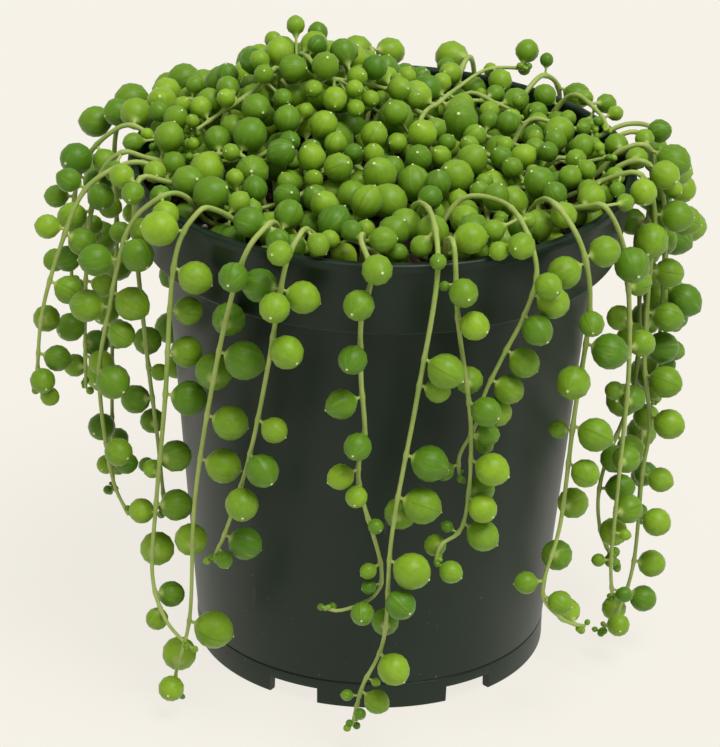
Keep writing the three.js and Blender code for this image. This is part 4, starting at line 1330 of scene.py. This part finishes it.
def stem_finish():
    """Pale yellow-green stem, greener in patches, with fine lines along it."""
    material, nodes, shader = new_material("stem_skin")
    uv = nodes.add("ShaderNodeUVMap", uv_map="UVMap").outputs["UV"]
    lines = nodes.noise(uv, 1.0, 3.0, 0.5, (9, 40, 1))
    colour = nodes.blend(mottled(nodes, 120, 2.5), STEM_LIGHT, STEM_GREENER)
    colour = nodes.blend(nodes.times(nodes.ramp(lines, 0.5, 0.8), 0.4), colour, STEM_SHADE)
    nodes.join(colour, shader.inputs["Base Color"])
    nodes.join(nodes.plus(0.42, nodes.times(lines, 0.15)), shader.inputs["Roughness"])
    bump(nodes, shader, lines, 0.25, 0.0002)
    set_inputs(shader, {"Specular IOR Level": 0.35, "Subsurface Weight": 0.1, "Subsurface Scale": 0.001})
    return material


def pot_finish():
    """Dark green moulded plastic, satin, with a soft grain, faint upright flow lines and pale scuffs."""
    material, nodes, shader = new_material("pot_plastic")
    place = nodes.add("ShaderNodeTexCoord").outputs["Object"]
    parts = nodes.add("ShaderNodeSeparateXYZ")
    nodes.join(place, parts.inputs[0])
    height = parts.outputs["Z"]
    colour = nodes.blend(mottled(nodes, 35, 2.0), POT_DARK, POT_GREEN)
    foot = nodes.fade(height, 0.0058, 0.0064)
    colour = nodes.blend(nodes.times(foot, 0.5), colour, POT_FOOT)
    scratches = nodes.noise(place, 220, 2.0, 0.7, (1, 1, 0.15))
    scuffs = nodes.times(nodes.ramp(scratches, 0.7, 0.78), nodes.ramp(nodes.noise(place, 30, 2.0), 0.5, 0.7))
    low = nodes.fade(height, 0.008, 0.05)
    specks = nodes.times(nodes.ramp(nodes.noise(place, 900, 1.0), 0.74, 0.8), low)
    worn = nodes.maths("MAXIMUM", nodes.times(scuffs, 0.25), nodes.times(specks, 0.5))
    colour = nodes.blend(worn, colour, POT_SCUFF)
    nodes.join(colour, shader.inputs["Base Color"])
    flow = nodes.noise(place, 60, 3.0, 0.6, (1, 1, 0.08))
    grain = nodes.noise(place, 1500, 2.0)
    rough = nodes.plus(0.36, nodes.times(flow, 0.12))
    nodes.join(nodes.plus(rough, nodes.times(worn, 0.2)), shader.inputs["Roughness"])
    bump(nodes, shader, nodes.plus(flow, nodes.times(grain, 0.25)), 0.15, 0.0003)
    shader.inputs["Specular IOR Level"].default_value = 0.3
    return material


def soil_finish():
    """Damp potting mix: nearly black peat with brown and reddish crumbs and a few pale bits."""
    material, nodes, shader = new_material("potting_mix")
    tone = nodes.add("ShaderNodeAttribute", attribute_name="tone").outputs["Fac"]
    colour = nodes.blend(nodes.ramp(tone, 0.2, 0.95), SOIL_DARK, SOIL_BROWN)
    colour = nodes.blend(nodes.times(mottled(nodes, 320, 3.5), 0.6), colour, SOIL_BLACK)
    colour = nodes.blend(nodes.ramp(tone, 0.965, 0.975), colour, SOIL_PALE)
    nodes.join(colour, shader.inputs["Base Color"])
    set_inputs(shader, {"Roughness": 0.9, "Specular IOR Level": 0.25})
    place = nodes.add("ShaderNodeTexCoord").outputs["Object"]
    bump(nodes, shader, nodes.noise(place, 1400, 3.0), 0.8, 0.0006)
    return material


# ---------- the object ----------

pot_shape = Shape()
pot_surface(pot_shape)
floor_surface(pot_shape)
pot_piece = pot_shape.piece("nursery_pot", [pot_finish()], "pot_plastic", "pot")
pot_piece.data.set_sharp_from_angle(angle=math.radians(50))

soil_shape = Shape()
soil_surface(soil_shape)
crumb_surfaces(soil_shape)
soil_shape.piece("potting_soil", [soil_finish()], "soil", "soil")

plant_finishes = [stem_finish(), leaf_finish()]
for s in range(len(stems)):
    leafy_stem(s, plant_finishes)


# ---------- floor, light and camera ----------

FLOOR_SHADOW = 0.1
SURROUND = 0.54
KEY_LIGHT = 2.5
KEY_WIDTH = 32
KEY_FROM = (0.25, -0.28, 0.93)


def pale_floor():
    """A level floor that mostly shows its own pale colour and takes only a faint shadow."""
    size = 4.0
    mesh = bpy.data.meshes.new("floor")
    corners = [(-size, -size, 0), (size, -size, 0), (size, size, 0), (-size, size, 0)]
    mesh.from_pydata(corners, [], [(0, 1, 2, 3)])
    floor = bpy.data.objects.new("floor", mesh)
    bpy.context.scene.collection.objects.link(floor)
    material, nodes, shader = new_material("pale_floor")
    set_inputs(shader, {"Base Color": BACKDROP, "Roughness": 1, "Specular IOR Level": 0})
    glow = nodes.add("ShaderNodeEmission")
    glow.inputs["Color"].default_value = BACKDROP
    both = nodes.add("ShaderNodeMixShader")
    both.inputs["Fac"].default_value = FLOOR_SHADOW
    nodes.join(glow.outputs[0], both.inputs[1])
    nodes.join(shader.outputs[0], both.inputs[2])
    output = material.node_tree.nodes["Material Output"]
    nodes.join(both.outputs[0], output.inputs["Surface"])
    mesh.materials.append(material)


def studio_light():
    """A pale surround that lights evenly, and one broad soft light from the right, in front and above."""
    world = bpy.data.worlds.new("studio")
    bpy.context.scene.world = world
    world.use_nodes = True
    nodes = Nodes(world.node_tree)
    sky = world.node_tree.nodes["Background"]
    sky.inputs["Color"].default_value = BACKDROP
    seen = nodes.add("ShaderNodeLightPath").outputs["Is Camera Ray"]
    nodes.join(nodes.plus(SURROUND, nodes.times(seen, 1 - SURROUND)), sky.inputs["Strength"])
    sun = bpy.data.lights.new("key", "SUN")
    sun.energy = KEY_LIGHT
    sun.angle = math.radians(KEY_WIDTH)
    lamp = bpy.data.objects.new("key", sun)
    lamp.rotation_euler = Vector(KEY_FROM).to_track_quat("Z", "Y").to_euler()
    bpy.context.scene.collection.objects.link(lamp)


# The camera: degrees above the level, millimetres from the point that it aims at on the pot's axis,
# that point's height, its roll in radians, and in pixels of the frame its focal length and how far its
# middle is turned to the side and up.
CAMERA_ELEVATION = 26.18
CAMERA_DISTANCE = 1100
CAMERA_AIM = 55
CAMERA_ROLL = -0.029
CAMERA_FOCAL = 4977.2
CAMERA_TURN = (-15.6, 31.2)
FRAME_LONG_SIDE = 747


def front_camera():
    """The camera: it looks at the pot's axis from the front and above, a little rolled, and its middle
    is turned so that the object stands in the frame as in the photograph."""
    elevation = math.radians(CAMERA_ELEVATION)
    target = np.array([0, 0, CAMERA_AIM]) * MM
    roll = CAMERA_ROLL
    centre_off = np.array(CAMERA_TURN) / CAMERA_FOCAL
    forward = np.array([0, math.cos(elevation), -math.sin(elevation)])
    right = np.array([1.0, 0, 0])
    up = np.cross(right, forward)
    place = target - forward * CAMERA_DISTANCE * MM
    image_up = up * math.cos(roll) + right * math.sin(roll)
    image_right = right * math.cos(roll) - up * math.sin(roll)
    view = unit(forward + image_right * centre_off[0] + image_up * centre_off[1])
    side = unit(np.cross(view, image_up))
    top = np.cross(side, view)
    data = bpy.data.cameras.new("camera")
    data.lens = CAMERA_FOCAL / FRAME_LONG_SIDE * data.sensor_width
    data.clip_end = 20
    camera = bpy.data.objects.new("camera", data)
    placed = np.vstack([np.column_stack([side, top, -view, place]), [0, 0, 0, 1]])
    camera.matrix_world = Matrix(placed.tolist())
    bpy.context.scene.collection.objects.link(camera)
    bpy.context.scene.camera = camera


pale_floor()
studio_light()
front_camera()
bpy.context.scene.view_settings.view_transform = "Standard"
